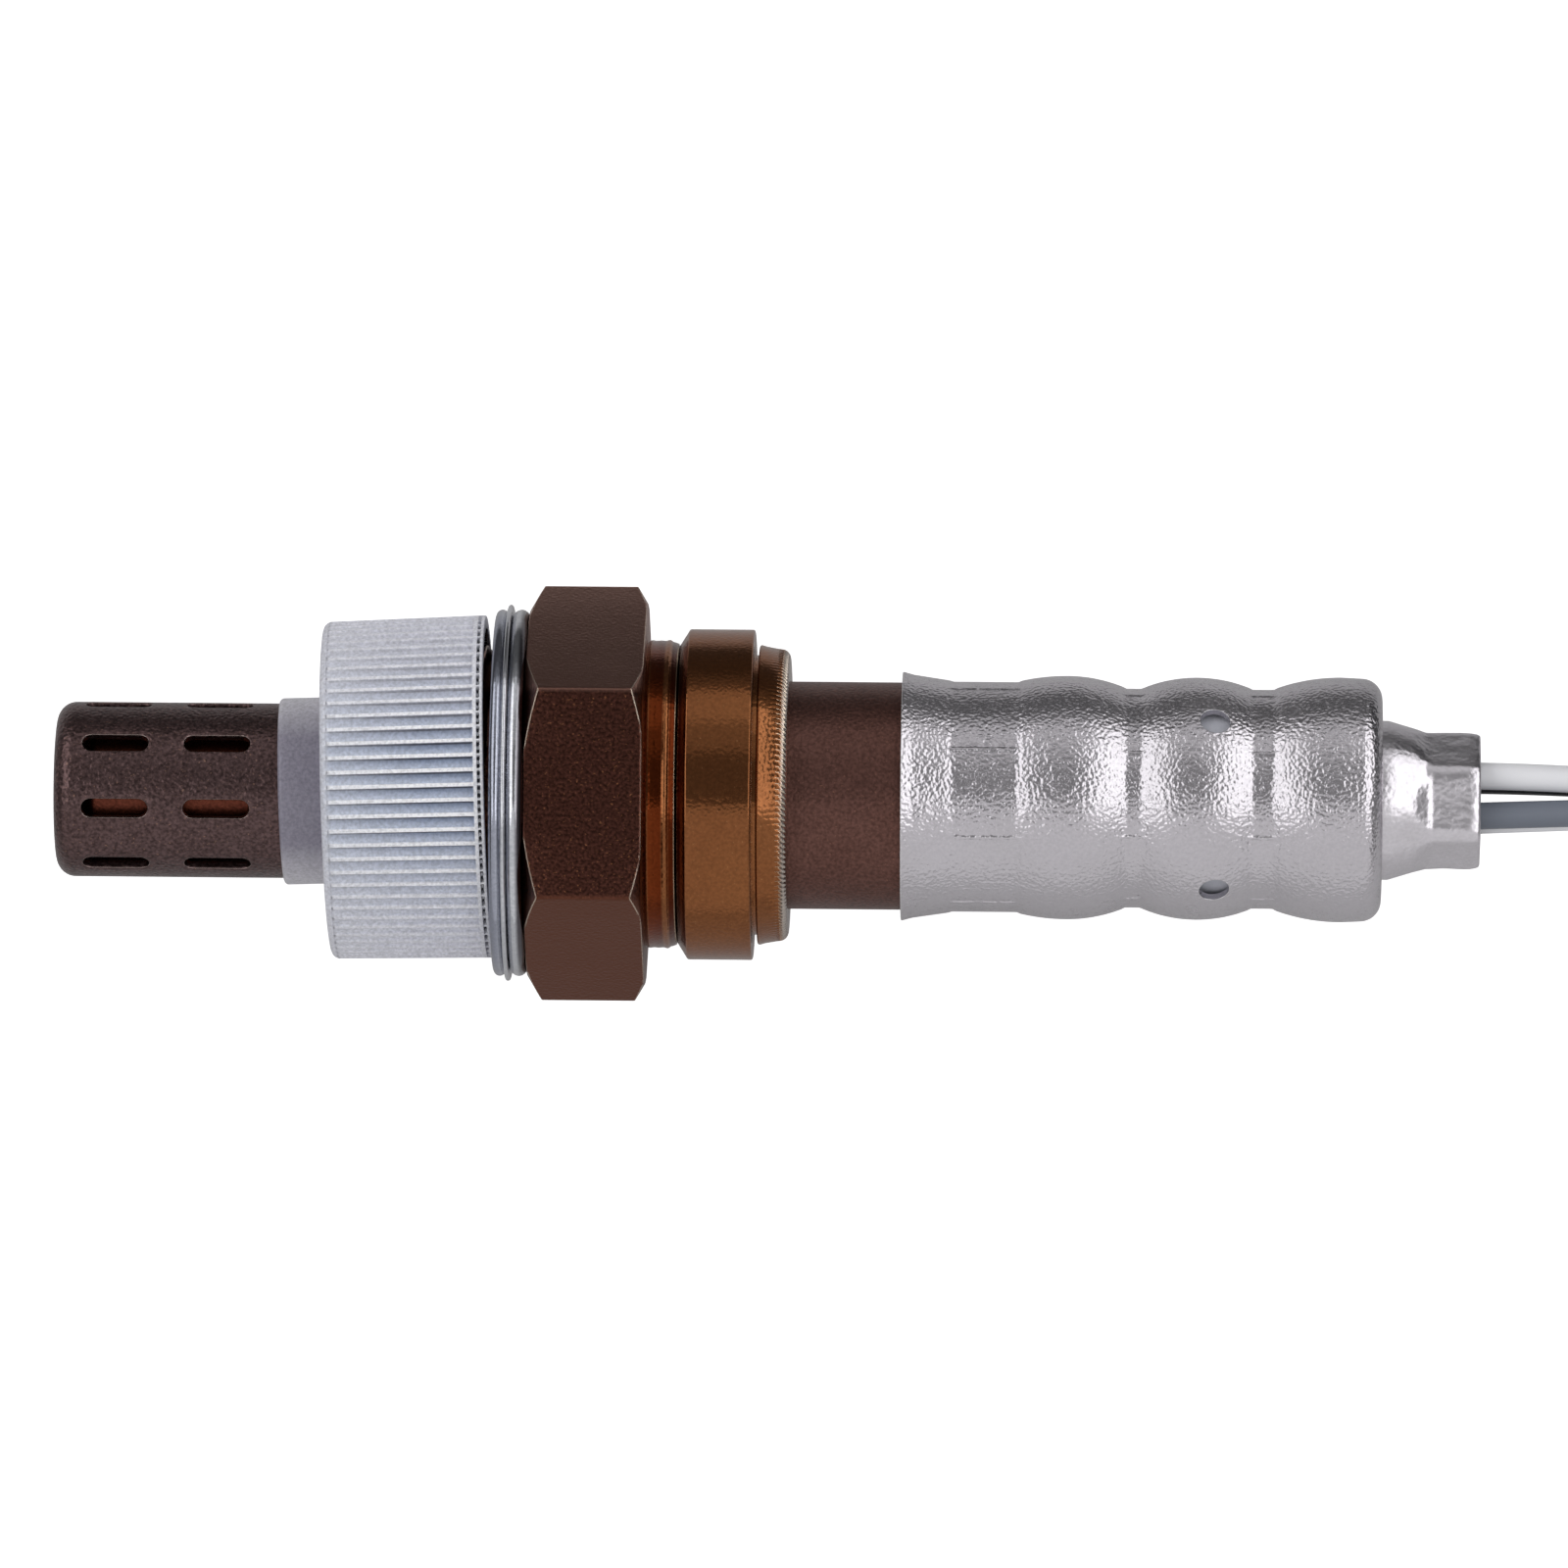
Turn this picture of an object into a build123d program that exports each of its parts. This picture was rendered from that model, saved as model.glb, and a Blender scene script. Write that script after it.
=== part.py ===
from build123d import *
import math
import os

# Heated four-wire thimble oxygen sensor, millimetres.
# X is the sensor's axis: the gas tip points along -X and the lead leaves along +X.
# The origin is on the axis, in the plane of the hex's sealing face. +Z is up.
# The sensor lies on one flat of its hex, and the lead lies on the same floor.

# ---- hex housing ----
hex_across_flats = 22.0
hex_length = 7.2
hex_front_chamfer = 0.9
hex_rear_chamfer = 0.65
hex_front_face_r = 11.15
hex_rear_face_r = 11.6
thread_r = 9.0
thread_end_chamfer = 0.7
reach = 11.2
relief_length = 2.6
relief_r = 8.3
neck_r = 9.28
neck_ridge_height = 0.16
neck_length = 1.9
neck_groove_depth = 0.3
collar_r = 10.1
collar_length = 4.66
collar_cone_length = 0.7
notch_depth = 1.55
notch_width = 0.3
lip_front_r = 9.2
lip_hollow_at = 0.5
lip_hollow_depth = 0.14
lip_rear_r = 8.85
lip_length = 1.88
lip_edge_r = 0.55
lip_root_depth = 1.3
front_bore_r = 4.75
seat_bore_r = 4.25
seat_length = 0.9
main_bore_r = 6.0
main_bore_start = -2.2
stake_thickness = 0.5
stake_r_gap = 0.06
sheet_seat_play = 0.04

# ---- protection tubes ----
tip_reach = 29.1
tube_r = 5.34
tube_wall = 0.5
tube_end_round = 1.15
tube_dome = 0.3
tube_flange_r = 7.0
slot_length = 4.03
slot_width = 1.06
slots_in_row = 8
slot_first_angle = 77.5
first_slot_from_tip = 2.0
slot_row_pitch = 6.2
inner_tube_r = 4.15
inner_tube_wall = 0.4
inner_tube_back = 1.6
gas_hole_d = 1.4
gas_holes_in_row = 8
gas_hole_rows = 2

# ---- thread protector cap ----
cap_front_r = 10.3
cap_rear_r = 10.48
cap_wall_front = 1.0
cap_rear_gap = 2.1
cap_edge_round = 0.5
cap_bore_gap = 0.7
cap_seat_gap = 0.1
nose_r = 5.7
nose_gap = 0.1
nose_length = 2.8
nose_chamfer = 0.25
rib_count = 72
rib_groove_depth = 0.24
rib_groove_share = 0.5
rib_front_margin = 0.55
rib_rear_margin = 1.25

# ---- sealing gasket ----
gasket_bore_r = 8.9
gasket_ring_width = 2.3
gasket_fin_height = 0.3
gasket_hang_gap = 0.1
gasket_width = 2.04
gasket_front_lobe = 0.84
gasket_fin_width = 0.14
gasket_crease_depth = 0.55
gasket_slit_width = 0.2
gasket_slit_wall = 0.5

# ---- sensing element, heater and packing ----
element_tip_gap = 1.2
element_tip_r = 2.4
element_body_r = 3.1
element_collar_r = 5.0
element_rear_r = 4.0
element_collar_length = 4.2
element_collar_cone = 0.9
element_taper_length = 6.0
element_rear_end = 24.0
heater_r = 1.55
heater_play = 0.1
heater_tip_gap = 0.7
heater_tip_round = 0.9
heater_rear_end = 26.5
rear_bore_r = 2.25
heater_pad_length = 4.0
heater_pad_inset = 1.0
crimp_ring_wall_gap = 0.6
washer_thickness = 0.5
packing_play = 0.05
talc_length = 5.0
bush_length = 3.3
crimp_ring_thickness = 0.8

# ---- rear tube, outer sleeve, neck tube ----
rear_tube_r = 6.95
rear_tube_wall = 0.5
rear_tube_flange_r = 7.75
rear_tube_in_sleeve = 12.0
sleeve_front = 22.8
sleeve_length = 29.3
sleeve_wall = 0.4
mouth_r = 7.62
mouth_flare_length = 0.7
mouth_flare_r = 7.43
wide_crimp_r = 7.03
wide_crimp_from = 3.0
wide_crimp_length = 4.1
bulge_one_r = 7.44
bulge_one_at = 10.1
groove_r = 6.69
front_groove_from = 13.6
front_groove_length = 1.1
bulge_two_r = 7.4
bulge_two_at = 18.0
rear_groove_from = 21.3
rear_groove_length = 1.4
bulge_three_r = 7.48
bulge_three_at = 26.8
sleeve_end_drop = 0.06
sleeve_end_round = 1.2
sleeve_end_hole_r = 5.1
jaw_count = 8
jaw_seam_height = 0.07
jaw_seam_width = 0.25
vent_d = 1.85
vent_count = 4
vent_first_angle = 40.5
vent_at = 19.1
filter_wall = 0.34
filter_length = 11.0
tube_play = 0.05
neck_tube_front = 33.0
neck_tube_wall = 0.4
neck_front_r = 4.86
neck_end_r = 4.16
neck_flare_length = 2.3
neck_length_out = 6.0
neck_end_round = 0.35
neck_jaw_count = 6
neck_flat_r = 3.76
neck_jaw_length = 2.4
neck_jaw_run_out = 0.5
neck_shoulder_gap = 0.25
neck_shoulder_round = 0.4
sleeve_to_neck_gap = 0.4

# ---- terminals, insulator, grommet and wires ----
wire_d = 1.65
wire_pitch = 2.5
wire_twist = 6.5
wire_close_gap = 0.08
wire_bend_x = 61.2
wire_middle_x = 69.0
wire_middle_drop = 1.3
wire_middle_spread = 0.1
wire_level_x = 82.0
insulator_front = 28.0
insulator_length = 13.5
insulator_play = 0.1
insulator_flange_length = 3.5
insulator_bore_r = 0.8
clip_length = 3.0
clip_wall = 0.3
clip_opening = 40.0
blade_width = 1.2
blade_thickness = 0.3
barrel_r = 1.05
barrel_length = 6.0
barrel_gap = 0.3
barrel_floor = 0.5
blade_let_in = 0.25
wire_in_barrel = 4.5
terminal_ring_wall = 0.3
terminal_ring_length = 5.5
terminal_ring_opening = 60.0
outer_ring_rear_gap = 1.0
inner_ring_rear_gap = 6.5
strap_overlap = 1.0
strap_straight = 1.8
strap_rise = 1.2
terminal_play = 0.04
grommet_front = 51.6
grommet_recess = 0.45
bore_play = 0.03

# ---- lead: woven sleeve, hank, tape ----
lead_d = 4.8
lead_start_x = 96.0
hank_x = 122.5
hank_fold_r = 14.4
hank_run = 27.2
hank_turns_high = 2
hank_corner_round = 2.1
tape_width = 12.0
tape_thickness = 0.25
tape_play = 0.05
tail_start_x = 121.5
tail_bend_x = 113.0
tail_inset = 1.9

# ---- four-way connector ----
connector_x = 105.5
boot_length = 9.0
boot_groove_count = 3
boot_groove_pitch = 2.2
boot_groove_width = 1.0
boot_groove_depth = 0.5
boot_first_groove = 1.6
boot_rear_r = 4.4
boot_front_r = 7.2
housing_length = 30.0
housing_width = 20.0
housing_height = 18.0
housing_wall = 1.6
housing_corner_r = 3.0
cavity_depth = 14.0
pin_pitch = 6.4
pin_width = 1.5
pin_thickness = 0.8
pin_out = 7.0
pin_in = 5.0
latch_length = 11.0
latch_width = 7.0
latch_height = 1.8
lock_length = 1.6
lock_play = 0.1
pin_play = 0.02
pin_window_play = 0.2
latch_from_mouth = 4.0
latch_rail_width = 1.2
latch_rail_gap = 1.6
rim_length = 2.2
rim_groove_width = 1.0
rim_groove_depth = 0.4
grip_groove_count = 5
grip_groove_pitch = 1.8
grip_groove_width = 0.9
grip_groove_depth = 0.5
grip_from_rear = 2.5
grip_height = 12.0
pin_point = 0.9

# ---- places that follow from the sizes above ----
hex_r = hex_across_flats / 2
floor_z = -hex_r
gasket_r = gasket_bore_r + gasket_ring_width
gasket_fin_r = gasket_r + gasket_fin_height
gasket_lift = gasket_bore_r - relief_r - gasket_hang_gap
neck_end = hex_length + neck_length
collar_start = neck_end + collar_cone_length
collar_end = collar_start + collar_length - collar_cone_length
lip_start = collar_end + notch_width
housing_end = lip_start + lip_length
lip_hole_r = rear_tube_r + tube_play
flange_room_end = housing_end - lip_root_depth
flange_room_r = rear_tube_flange_r + tube_play
tip_x = -tip_reach
shank_front = -reach
flange_seat = shank_front + stake_thickness + sheet_seat_play
inner_tube_flange_x = flange_seat + tube_wall
front_counterbore_end = inner_tube_flange_x + inner_tube_wall + sheet_seat_play
inner_tip_x = tip_x + tube_wall + inner_tube_back
element_tip_x = inner_tip_x + inner_tube_wall + element_tip_gap
heater_bore_r = heater_r + heater_play
heater_tip_x = element_tip_x + (element_tip_r - heater_bore_r) + heater_tip_gap
packing_start = main_bore_start + washer_thickness
element_collar_end = packing_start + element_collar_length
talc_end = element_collar_end + talc_length
bush_end = talc_end + bush_length
crimp_ring_end = bush_end + crimp_ring_thickness
packing_inner_r = element_rear_r + packing_play
packing_outer_r = main_bore_r - packing_play
sleeve_end = sleeve_front + sleeve_length
grooves = [(front_groove_from, front_groove_length), (rear_groove_from, rear_groove_length)]
neck_x = sleeve_end + sleeve_to_neck_gap
neck_end_x = sleeve_end + neck_length_out
crimp_start = sleeve_front + wide_crimp_from
rear_tube_end = sleeve_front + rear_tube_in_sleeve
rear_tube_crimped_r = wide_crimp_r - sleeve_wall - tube_play
rear_tube_bore_r = rear_tube_crimped_r - rear_tube_wall
filter_r = groove_r - sleeve_wall - tube_play
filter_centre = sleeve_front + vent_at
neck_tube_r = filter_r - filter_wall - tube_play
insulator_r = neck_tube_r - neck_tube_wall - insulator_play
insulator_flange_r = rear_tube_bore_r - tube_play
insulator_end = insulator_front + insulator_length
barrel_start = grommet_front - barrel_gap - barrel_length
wire_start = barrel_start + barrel_length - wire_in_barrel
terminal_radius = wire_pitch / math.sqrt(2)
blade_end = barrel_start + blade_let_in
lead_bottom = floor_z + tape_thickness + tape_play
lead_z = lead_bottom + lead_d / 2
hank_far_y = 2 * hank_fold_r
hank_height = hank_turns_high * lead_d
hank_top_z = lead_bottom + hank_height - lead_d / 2
connector_y = hank_far_y - tail_inset
housing_rear = connector_x - boot_length
housing_front = housing_rear - housing_length
connector_z = floor_z + housing_height / 2


# ---- helpers ----
def outline(points):
    """Closed face in the XY plane. A point is (x, radius) or (x, radius, corner rounding)."""
    corners = [p[:2] for p in points]
    rounds = [p[2] if len(p) > 2 else 0 for p in points]
    if not any(rounds):
        return make_face(Polyline(*corners, close=True))
    return make_face(FilletPolyline(*corners, radius=rounds, close=True))


def turned(points):
    """Solid turned about the sensor's axis from a section of (x, radius) points."""
    return revolve(outline(points), Axis.X)


def ring(x0, x1, inner_r, outer_r):
    return turned([(x0, inner_r), (x0, outer_r), (x1, outer_r), (x1, inner_r)])


def around_x(shape, angle):
    """Turn a shape about the axis; the angle runs from +Z towards +Y."""
    return Rot(X=-angle) * shape


def spread(shape, count, first_angle=0.0):
    return [around_x(shape, first_angle + i * 360 / count) for i in range(count)]


def axial_block(x0, x1, width, z0, z1):
    """Block along the axis, centred on Y = 0, between two heights."""
    size = (x1 - x0, width, z1 - z0)
    return Pos((x0 + x1) / 2, 0, (z0 + z1) / 2) * Box(*size)


def radial_drill(x, diameter, z0, z1):
    return Pos(x, 0, (z0 + z1) / 2) * Cylinder(diameter / 2, z1 - z0)


def corner_angle(index):
    """Angle of one of the four wires about the axis."""
    return 45 + wire_twist + 90 * index


def wire_place(index, radius=terminal_radius):
    angle = math.radians(corner_angle(index))
    return radius * math.sin(angle), radius * math.cos(angle)


def tube_along(points, diameter, name):
    """Round tube along straight runs joined by arcs as large as the runs allow; prints the radii."""
    vectors = [Vector(*p) for p in points]
    radii = []
    for before, here, after in zip(vectors, vectors[1:], vectors[2:]):
        half_turn = math.radians((here - before).get_angle(after - here)) / 2
        shorter = min((here - before).length, (after - here).length)
        radii.append(0.45 * shorter / math.tan(half_turn))
    path = FilletPolyline(*points, radius=radii) if radii else Line(*points)
    start = Plane(origin=vectors[0], z_dir=vectors[1] - vectors[0])
    tube = sweep(start * Circle(diameter / 2), path=path)
    share = tube.volume / (math.pi * diameter**2 / 4 * path.length)
    rounded = [round(r, 1) for r in radii]
    print(name, "length", round(path.length, 2), "radii", rounded, "volume share", round(share, 4))
    return tube


# ---- hex housing ----
def neck_outline():
    """Three low buckled ridges between the hex and the collar, as a smooth curve."""
    step = neck_length / 7
    xs = [hex_length + step * i for i in range(8)]
    heights = [0, 0.75, 0, 1.1, 0.15, 0.8, 0.1, -0.3]
    return [(x, neck_r + neck_ridge_height * h) for x, h in zip(xs, heights)]


def hex_housing():
    shank = turned([
        (shank_front, 0), (shank_front, thread_r - thread_end_chamfer),
        (shank_front + thread_end_chamfer, thread_r), (-relief_length, thread_r),
        (-relief_length + thread_r - relief_r, relief_r), (0, relief_r), (0, 0),
    ])
    prism = Rot(Y=90) * extrude(RegularPolygon(hex_r, 6, major_radius=False, rotation=30), hex_length)
    corner_r = hex_r / math.cos(math.radians(30))
    chamfer_cone = turned([
        (0, 0), (0, hex_front_face_r), (hex_front_chamfer, corner_r + 0.01),
        (hex_length - hex_rear_chamfer, corner_r + 0.01), (hex_length, hex_rear_face_r),
        (hex_length, 0),
    ])
    neck_points = neck_outline()
    neck_curve = Spline(*neck_points)
    neck_sides = Polyline(
        neck_points[-1], (neck_end, 0), (hex_length, 0), neck_points[0]
    )
    neck = revolve(make_face([neck_curve, neck_sides]), Axis.X)
    rear = turned([
        (neck_end, 0), (neck_end, neck_r - neck_groove_depth), (collar_start, collar_r, 0.15),
        (collar_end, collar_r, 0.12), (collar_end, collar_r - notch_depth),
        (lip_start, collar_r - notch_depth), (lip_start, lip_front_r),
        (lip_start + lip_hollow_at, lip_front_r - lip_hollow_depth),
        (housing_end, lip_rear_r, lip_edge_r),
        (housing_end, 0),
    ])
    body = shank + (prism & chamfer_cone) + neck + rear
    bore = turned([
        (shank_front - 1, 0), (shank_front - 1, tube_r + stake_r_gap),
        (shank_front + stake_thickness, tube_r + stake_r_gap),
        (shank_front + stake_thickness, tube_flange_r + stake_r_gap),
        (front_counterbore_end, tube_flange_r + stake_r_gap), (front_counterbore_end, front_bore_r),
        (main_bore_start - seat_length, seat_bore_r), (main_bore_start, seat_bore_r),
        (main_bore_start, main_bore_r), (crimp_ring_end + packing_play, main_bore_r),
        (crimp_ring_end + packing_play, flange_room_r), (flange_room_end, flange_room_r),
        (flange_room_end, lip_hole_r), (housing_end + 1, lip_hole_r), (housing_end + 1, 0),
    ])
    return body - bore


# ---- gas tip ----
def protection_tube(end_x, outer_r, wall, end_round, dome, flange_x, flange_r):
    """Deep-drawn tube, closed and slightly domed at its tip, with a flange at its open end."""
    outer = turned([
        (end_x, 0), (end_x + dome, outer_r, end_round), (flange_x, outer_r),
        (flange_x, flange_r), (flange_x + wall, flange_r), (flange_x + wall, 0),
    ])
    bore_r = outer_r - wall
    bore_round = max(end_round - wall, 0.1)
    hollow = turned([
        (end_x + wall, 0), (end_x + dome + wall, bore_r, bore_round),
        (flange_x + wall + 1, bore_r), (flange_x + wall + 1, 0),
    ])
    return outer - hollow


def outer_protection_tube():
    tube = protection_tube(
        tip_x, tube_r, tube_wall, tube_end_round, tube_dome, flange_seat, tube_flange_r
    )
    slot = extrude(SlotOverall(slot_length, slot_width), tube_r + 1)
    for row in range(2):
        centre = tip_x + first_slot_from_tip + slot_length / 2 + row * slot_row_pitch
        tube -= spread(Pos(centre, 0, 0) * slot, slots_in_row, slot_first_angle)
    return tube


def inner_protection_tube():
    tube = protection_tube(
        inner_tip_x, inner_tube_r, inner_tube_wall, 0.8, 0.0, inner_tube_flange_x, tube_flange_r
    )
    row_angle = 180 / gas_holes_in_row
    for row in range(gas_hole_rows):
        x = tip_x + first_slot_from_tip + slot_length / 2 + (row + 0.5) * slot_row_pitch
        drill = radial_drill(x, gas_hole_d, 0, inner_tube_r + 1)
        tube -= spread(drill, gas_holes_in_row, slot_first_angle + row_angle * (row + 1))
    return tube


# ---- thread protector cap ----
def thread_protector_cap():
    rear = -cap_rear_gap
    front = shank_front - cap_seat_gap - cap_wall_front
    bore_r = thread_r + cap_bore_gap
    nose_bore_r = tube_r + nose_gap
    shape = turned([
        (front - nose_length, nose_bore_r), (front - nose_length, nose_r - nose_chamfer),
        (front - nose_length + nose_chamfer, nose_r), (front, nose_r),
        (front, cap_front_r, cap_edge_round), (rear, cap_rear_r, 0.12), (rear, bore_r),
        (front + cap_wall_front, bore_r), (front + cap_wall_front, nose_bore_r),
    ])
    groove_x0 = front + rib_front_margin
    groove_x1 = rear - rib_rear_margin
    slope = (cap_rear_r - cap_front_r) / (rear - front)
    depth_r = [cap_front_r + slope * (x - front) - rib_groove_depth for x in (groove_x0, groove_x1)]
    width = 2 * math.pi * cap_front_r / rib_count * rib_groove_share
    top = cap_rear_r + 1
    side = make_face(Plane.XZ * Polyline(
        (groove_x0, depth_r[0]), (groove_x1, depth_r[1]), (groove_x1, top), (groove_x0, top), close=True
    ))
    cutter = extrude(side, width / 2, both=True)
    return shape - spread(cutter, rib_count)


# ---- sealing gasket ----
def sealing_gasket():
    """Crush ring folded from sheet: two rolled lobes, two inner slits, and the sheet's edge between."""
    x0 = -gasket_width
    x1 = x0 + gasket_front_lobe
    x2 = x1 + gasket_fin_width
    crease_r = gasket_r - gasket_crease_depth
    front_round = (x1 - x0) / 2
    rear_round = -x2 / 2
    edges = [
        Line((x0, gasket_bore_r), (x0, gasket_r - front_round)),
        ThreePointArc(
            (x0, gasket_r - front_round), ((x0 + x1) / 2, gasket_r), (x1, gasket_r - front_round)
        ),
        Polyline((x1, gasket_r - front_round), (x1, crease_r), (x1, gasket_fin_r), (x2, gasket_fin_r),
                 (x2, gasket_r - rear_round)),
        ThreePointArc((x2, gasket_r - rear_round), (x2 / 2, gasket_r), (0, gasket_r - rear_round)),
        Polyline((0, gasket_r - rear_round), (0, gasket_bore_r), (x0, gasket_bore_r)),
    ]
    shape = revolve(make_face(edges), Axis.X)
    for centre in ((x0 + x1) / 2, x2 / 2):
        half = gasket_slit_width / 2
        shape -= ring(centre - half, centre + half, gasket_bore_r - 1, gasket_r - gasket_slit_wall)
    # the loose ring is wider than the hex flat, so the floor pushes it up until it nears the shank
    return Pos(0, 0, gasket_lift) * shape


# ---- element, heater and packing ----
def sensing_element():
    shell = turned([
        (element_tip_x, 0), (element_tip_x, element_tip_r, element_tip_r * 0.95),
        (main_bore_start - element_taper_length, element_body_r), (packing_start, element_body_r),
        (packing_start + 0.01, element_collar_r - element_collar_cone),
        (packing_start + element_collar_cone, element_collar_r), (element_collar_end, element_collar_r),
        (element_collar_end, element_rear_r), (element_rear_end, element_rear_r), (element_rear_end, 0),
    ])
    wall = element_tip_r - heater_bore_r
    bore = turned([
        (element_tip_x + wall, 0), (element_tip_x + wall, heater_bore_r, heater_bore_r * 0.9),
        (packing_start, heater_bore_r), (packing_start + 1, rear_bore_r),
        (element_rear_end + 1, rear_bore_r), (element_rear_end + 1, 0),
    ])
    return shell - bore


def rod_heater():
    return turned([
        (heater_tip_x, 0), (heater_tip_x, heater_r, heater_tip_round),
        (heater_rear_end, heater_r, 0.2), (heater_rear_end, 0),
    ])


def packing_washer():
    return ring(main_bore_start, packing_start, element_body_r + packing_play, packing_outer_r)


def talc_ring():
    return ring(element_collar_end, talc_end, packing_inner_r, packing_outer_r)


def ceramic_bush():
    return ring(talc_end, bush_end, packing_inner_r, packing_outer_r)


def crimp_ring():
    inner_r = packing_inner_r + crimp_ring_wall_gap
    return turned([
        (bush_end, inner_r, 0.2), (bush_end, packing_outer_r, 0.2),
        (crimp_ring_end, packing_outer_r, 0.2), (crimp_ring_end, inner_r, 0.2),
    ])


# ---- rear tube ----
def rear_tube():
    flange_x0 = flange_room_end - rear_tube_wall - sheet_seat_play
    flange_x1 = flange_room_end - sheet_seat_play
    step_x0 = sleeve_front + mouth_flare_length
    step_x1 = crimp_start
    outer = turned([
        (flange_x0, 0), (flange_x0, rear_tube_flange_r), (flange_x1, rear_tube_flange_r),
        (flange_x1, rear_tube_r), (step_x0, rear_tube_r), (step_x1, rear_tube_crimped_r),
        (rear_tube_end, rear_tube_crimped_r), (rear_tube_end, 0),
    ])
    bore = turned([
        (flange_x0 - 1, 0), (flange_x0 - 1, rear_tube_r - rear_tube_wall),
        (step_x0, rear_tube_r - rear_tube_wall), (step_x1, rear_tube_bore_r),
        (rear_tube_end + 1, rear_tube_bore_r), (rear_tube_end + 1, 0),
    ])
    return outer - bore


# ---- crimped tubes ----
def flank(low, crest):
    """Arc from the foot of a bulge to its crest, level at the crest."""
    run, rise = crest[0] - low[0], crest[1] - low[1]
    radius = (run**2 + rise**2) / (2 * rise)
    half_angle = math.asin(run / radius) / 2
    middle = (
        crest[0] - radius * math.sin(half_angle),
        crest[1] - radius * (1 - math.cos(half_angle)),
    )
    return ThreePointArc(low, middle, crest)


def sleeve_form(inset):
    """The sleeve's outside, or its hollow when inset by the wall, before its jaws press it."""
    body_r = wide_crimp_r + jaw_seam_height - inset
    foot_r = groove_r + jaw_seam_height - inset
    crimp_from = sleeve_front + wide_crimp_from
    crimp_to = crimp_from + wide_crimp_length
    feet = []
    for start, length in grooves:
        feet += [(sleeve_front + start, foot_r), (sleeve_front + start + length, foot_r)]
    crests = [
        (sleeve_front + bulge_one_at, bulge_one_r - inset),
        (sleeve_front + bulge_two_at, bulge_two_r - inset),
        (sleeve_front + bulge_three_at, bulge_three_r - inset),
    ]
    shoulder_x = sleeve_end - inset
    round_r = sleeve_end_round - inset
    end_r = bulge_three_r - sleeve_end_drop - inset
    diagonal = math.sqrt(0.5)
    edges = [
        Polyline(
            (sleeve_front, mouth_r - inset), (sleeve_front + mouth_flare_length, mouth_flare_r - inset),
            (crimp_from, body_r), (crimp_to, body_r),
        ),
        flank((crimp_to, body_r), crests[0]), flank(feet[0], crests[0]), Line(feet[0], feet[1]),
        flank(feet[1], crests[1]), flank(feet[2], crests[1]), Line(feet[2], feet[3]),
        flank(feet[3], crests[2]), Line(crests[2], (shoulder_x - round_r, end_r)),
        ThreePointArc(
            (shoulder_x - round_r, end_r),
            (shoulder_x - round_r * (1 - diagonal), end_r - round_r * (1 - diagonal)),
            (shoulder_x, end_r - round_r),
        ),
        Polyline((shoulder_x, end_r - round_r), (shoulder_x, 0), (sleeve_front, 0),
                 (sleeve_front, mouth_r - inset)),
    ]
    return revolve(make_face(edges), Axis.X)


def pressed_band(x0, length, radius):
    """What eight hollow jaws press away from a band of the sleeve, leaving a seam between jaws."""
    top = radius + 2 * jaw_seam_height
    band = ring(x0, x0 + length, radius, top)
    seam = axial_block(x0 - 1, x0 + length + 1, jaw_seam_width, radius - 1, top + 1)
    return band - spread(seam, jaw_count, 180 / jaw_count)


def outer_sleeve():
    shell = sleeve_form(0) - sleeve_form(sleeve_wall)
    shell -= pressed_band(sleeve_front + wide_crimp_from, wide_crimp_length, wide_crimp_r)
    for start, length in grooves:
        shell -= pressed_band(sleeve_front + start, length, groove_r)
    shell -= Pos(sleeve_end, 0, 0) * Rot(Y=90) * Cylinder(sleeve_end_hole_r, 4 * sleeve_wall)
    drill = radial_drill(sleeve_front + vent_at, vent_d, 0, bulge_two_r + 1)
    return shell - spread(drill, vent_count, vent_first_angle)


def breather_filter():
    half = filter_length / 2
    return ring(filter_centre - half, filter_centre + half, filter_r - filter_wall, filter_r)


def jaw_flats(x0, x1, flat_r, count, run_out):
    """Blocks that press flats into a round tube, with a sloping front end."""
    top = flat_r + 3
    side = make_face(Plane.XZ * Polyline(
        (x0 - run_out, top), (x0 - run_out, flat_r + 1), (x0, flat_r), (x1, flat_r), (x1, top), close=True
    ))
    width = 2 * flat_r * math.tan(math.pi / count) + 2
    return spread(extrude(side, width / 2, both=True), count)


def neck_form(inset, past=0, end_round=0):
    """Rear inner tube with its shoulder, flare and crimped neck; its hollow runs past both ends."""
    front_x = neck_tube_front - past
    rear_x = neck_end_x + past
    shoulder = sleeve_end - sleeve_wall - neck_shoulder_gap - inset
    shape = turned([
        (front_x, 0), (front_x, neck_tube_r - inset),
        (shoulder, neck_tube_r - inset, neck_shoulder_round), (shoulder, neck_front_r - inset),
        (neck_x, neck_front_r - inset), (neck_x + neck_flare_length, neck_end_r - inset),
        (rear_x, neck_end_r - inset, end_round), (rear_x, 0),
    ])
    jaw_start = neck_end_x - neck_jaw_length
    flat_r = neck_flat_r - inset
    return shape - jaw_flats(jaw_start, rear_x + 1, flat_r, neck_jaw_count, neck_jaw_run_out)


def neck_tube():
    shell = neck_form(0, end_round=neck_end_round) - neck_form(neck_tube_wall, past=2)
    drill = radial_drill(filter_centre, vent_d, 0, neck_tube_r + 1)
    return shell - spread(drill, vent_count, vent_first_angle)


def wire_bores(x0, x1, radius):
    bores = []
    for i in range(4):
        y, z = wire_place(i)
        bores.append(Pos((x0 + x1) / 2, y, z) * Rot(Y=90) * Cylinder(radius, x1 - x0))
    return bores


def wire_grommet():
    inset = neck_tube_wall + bore_play
    plug = neck_form(inset) & ring(grommet_front, neck_end_x - grommet_recess, 0, neck_tube_r)
    return plug - wire_bores(grommet_front - 1, neck_end_x + 1, wire_d / 2 + bore_play)


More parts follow.
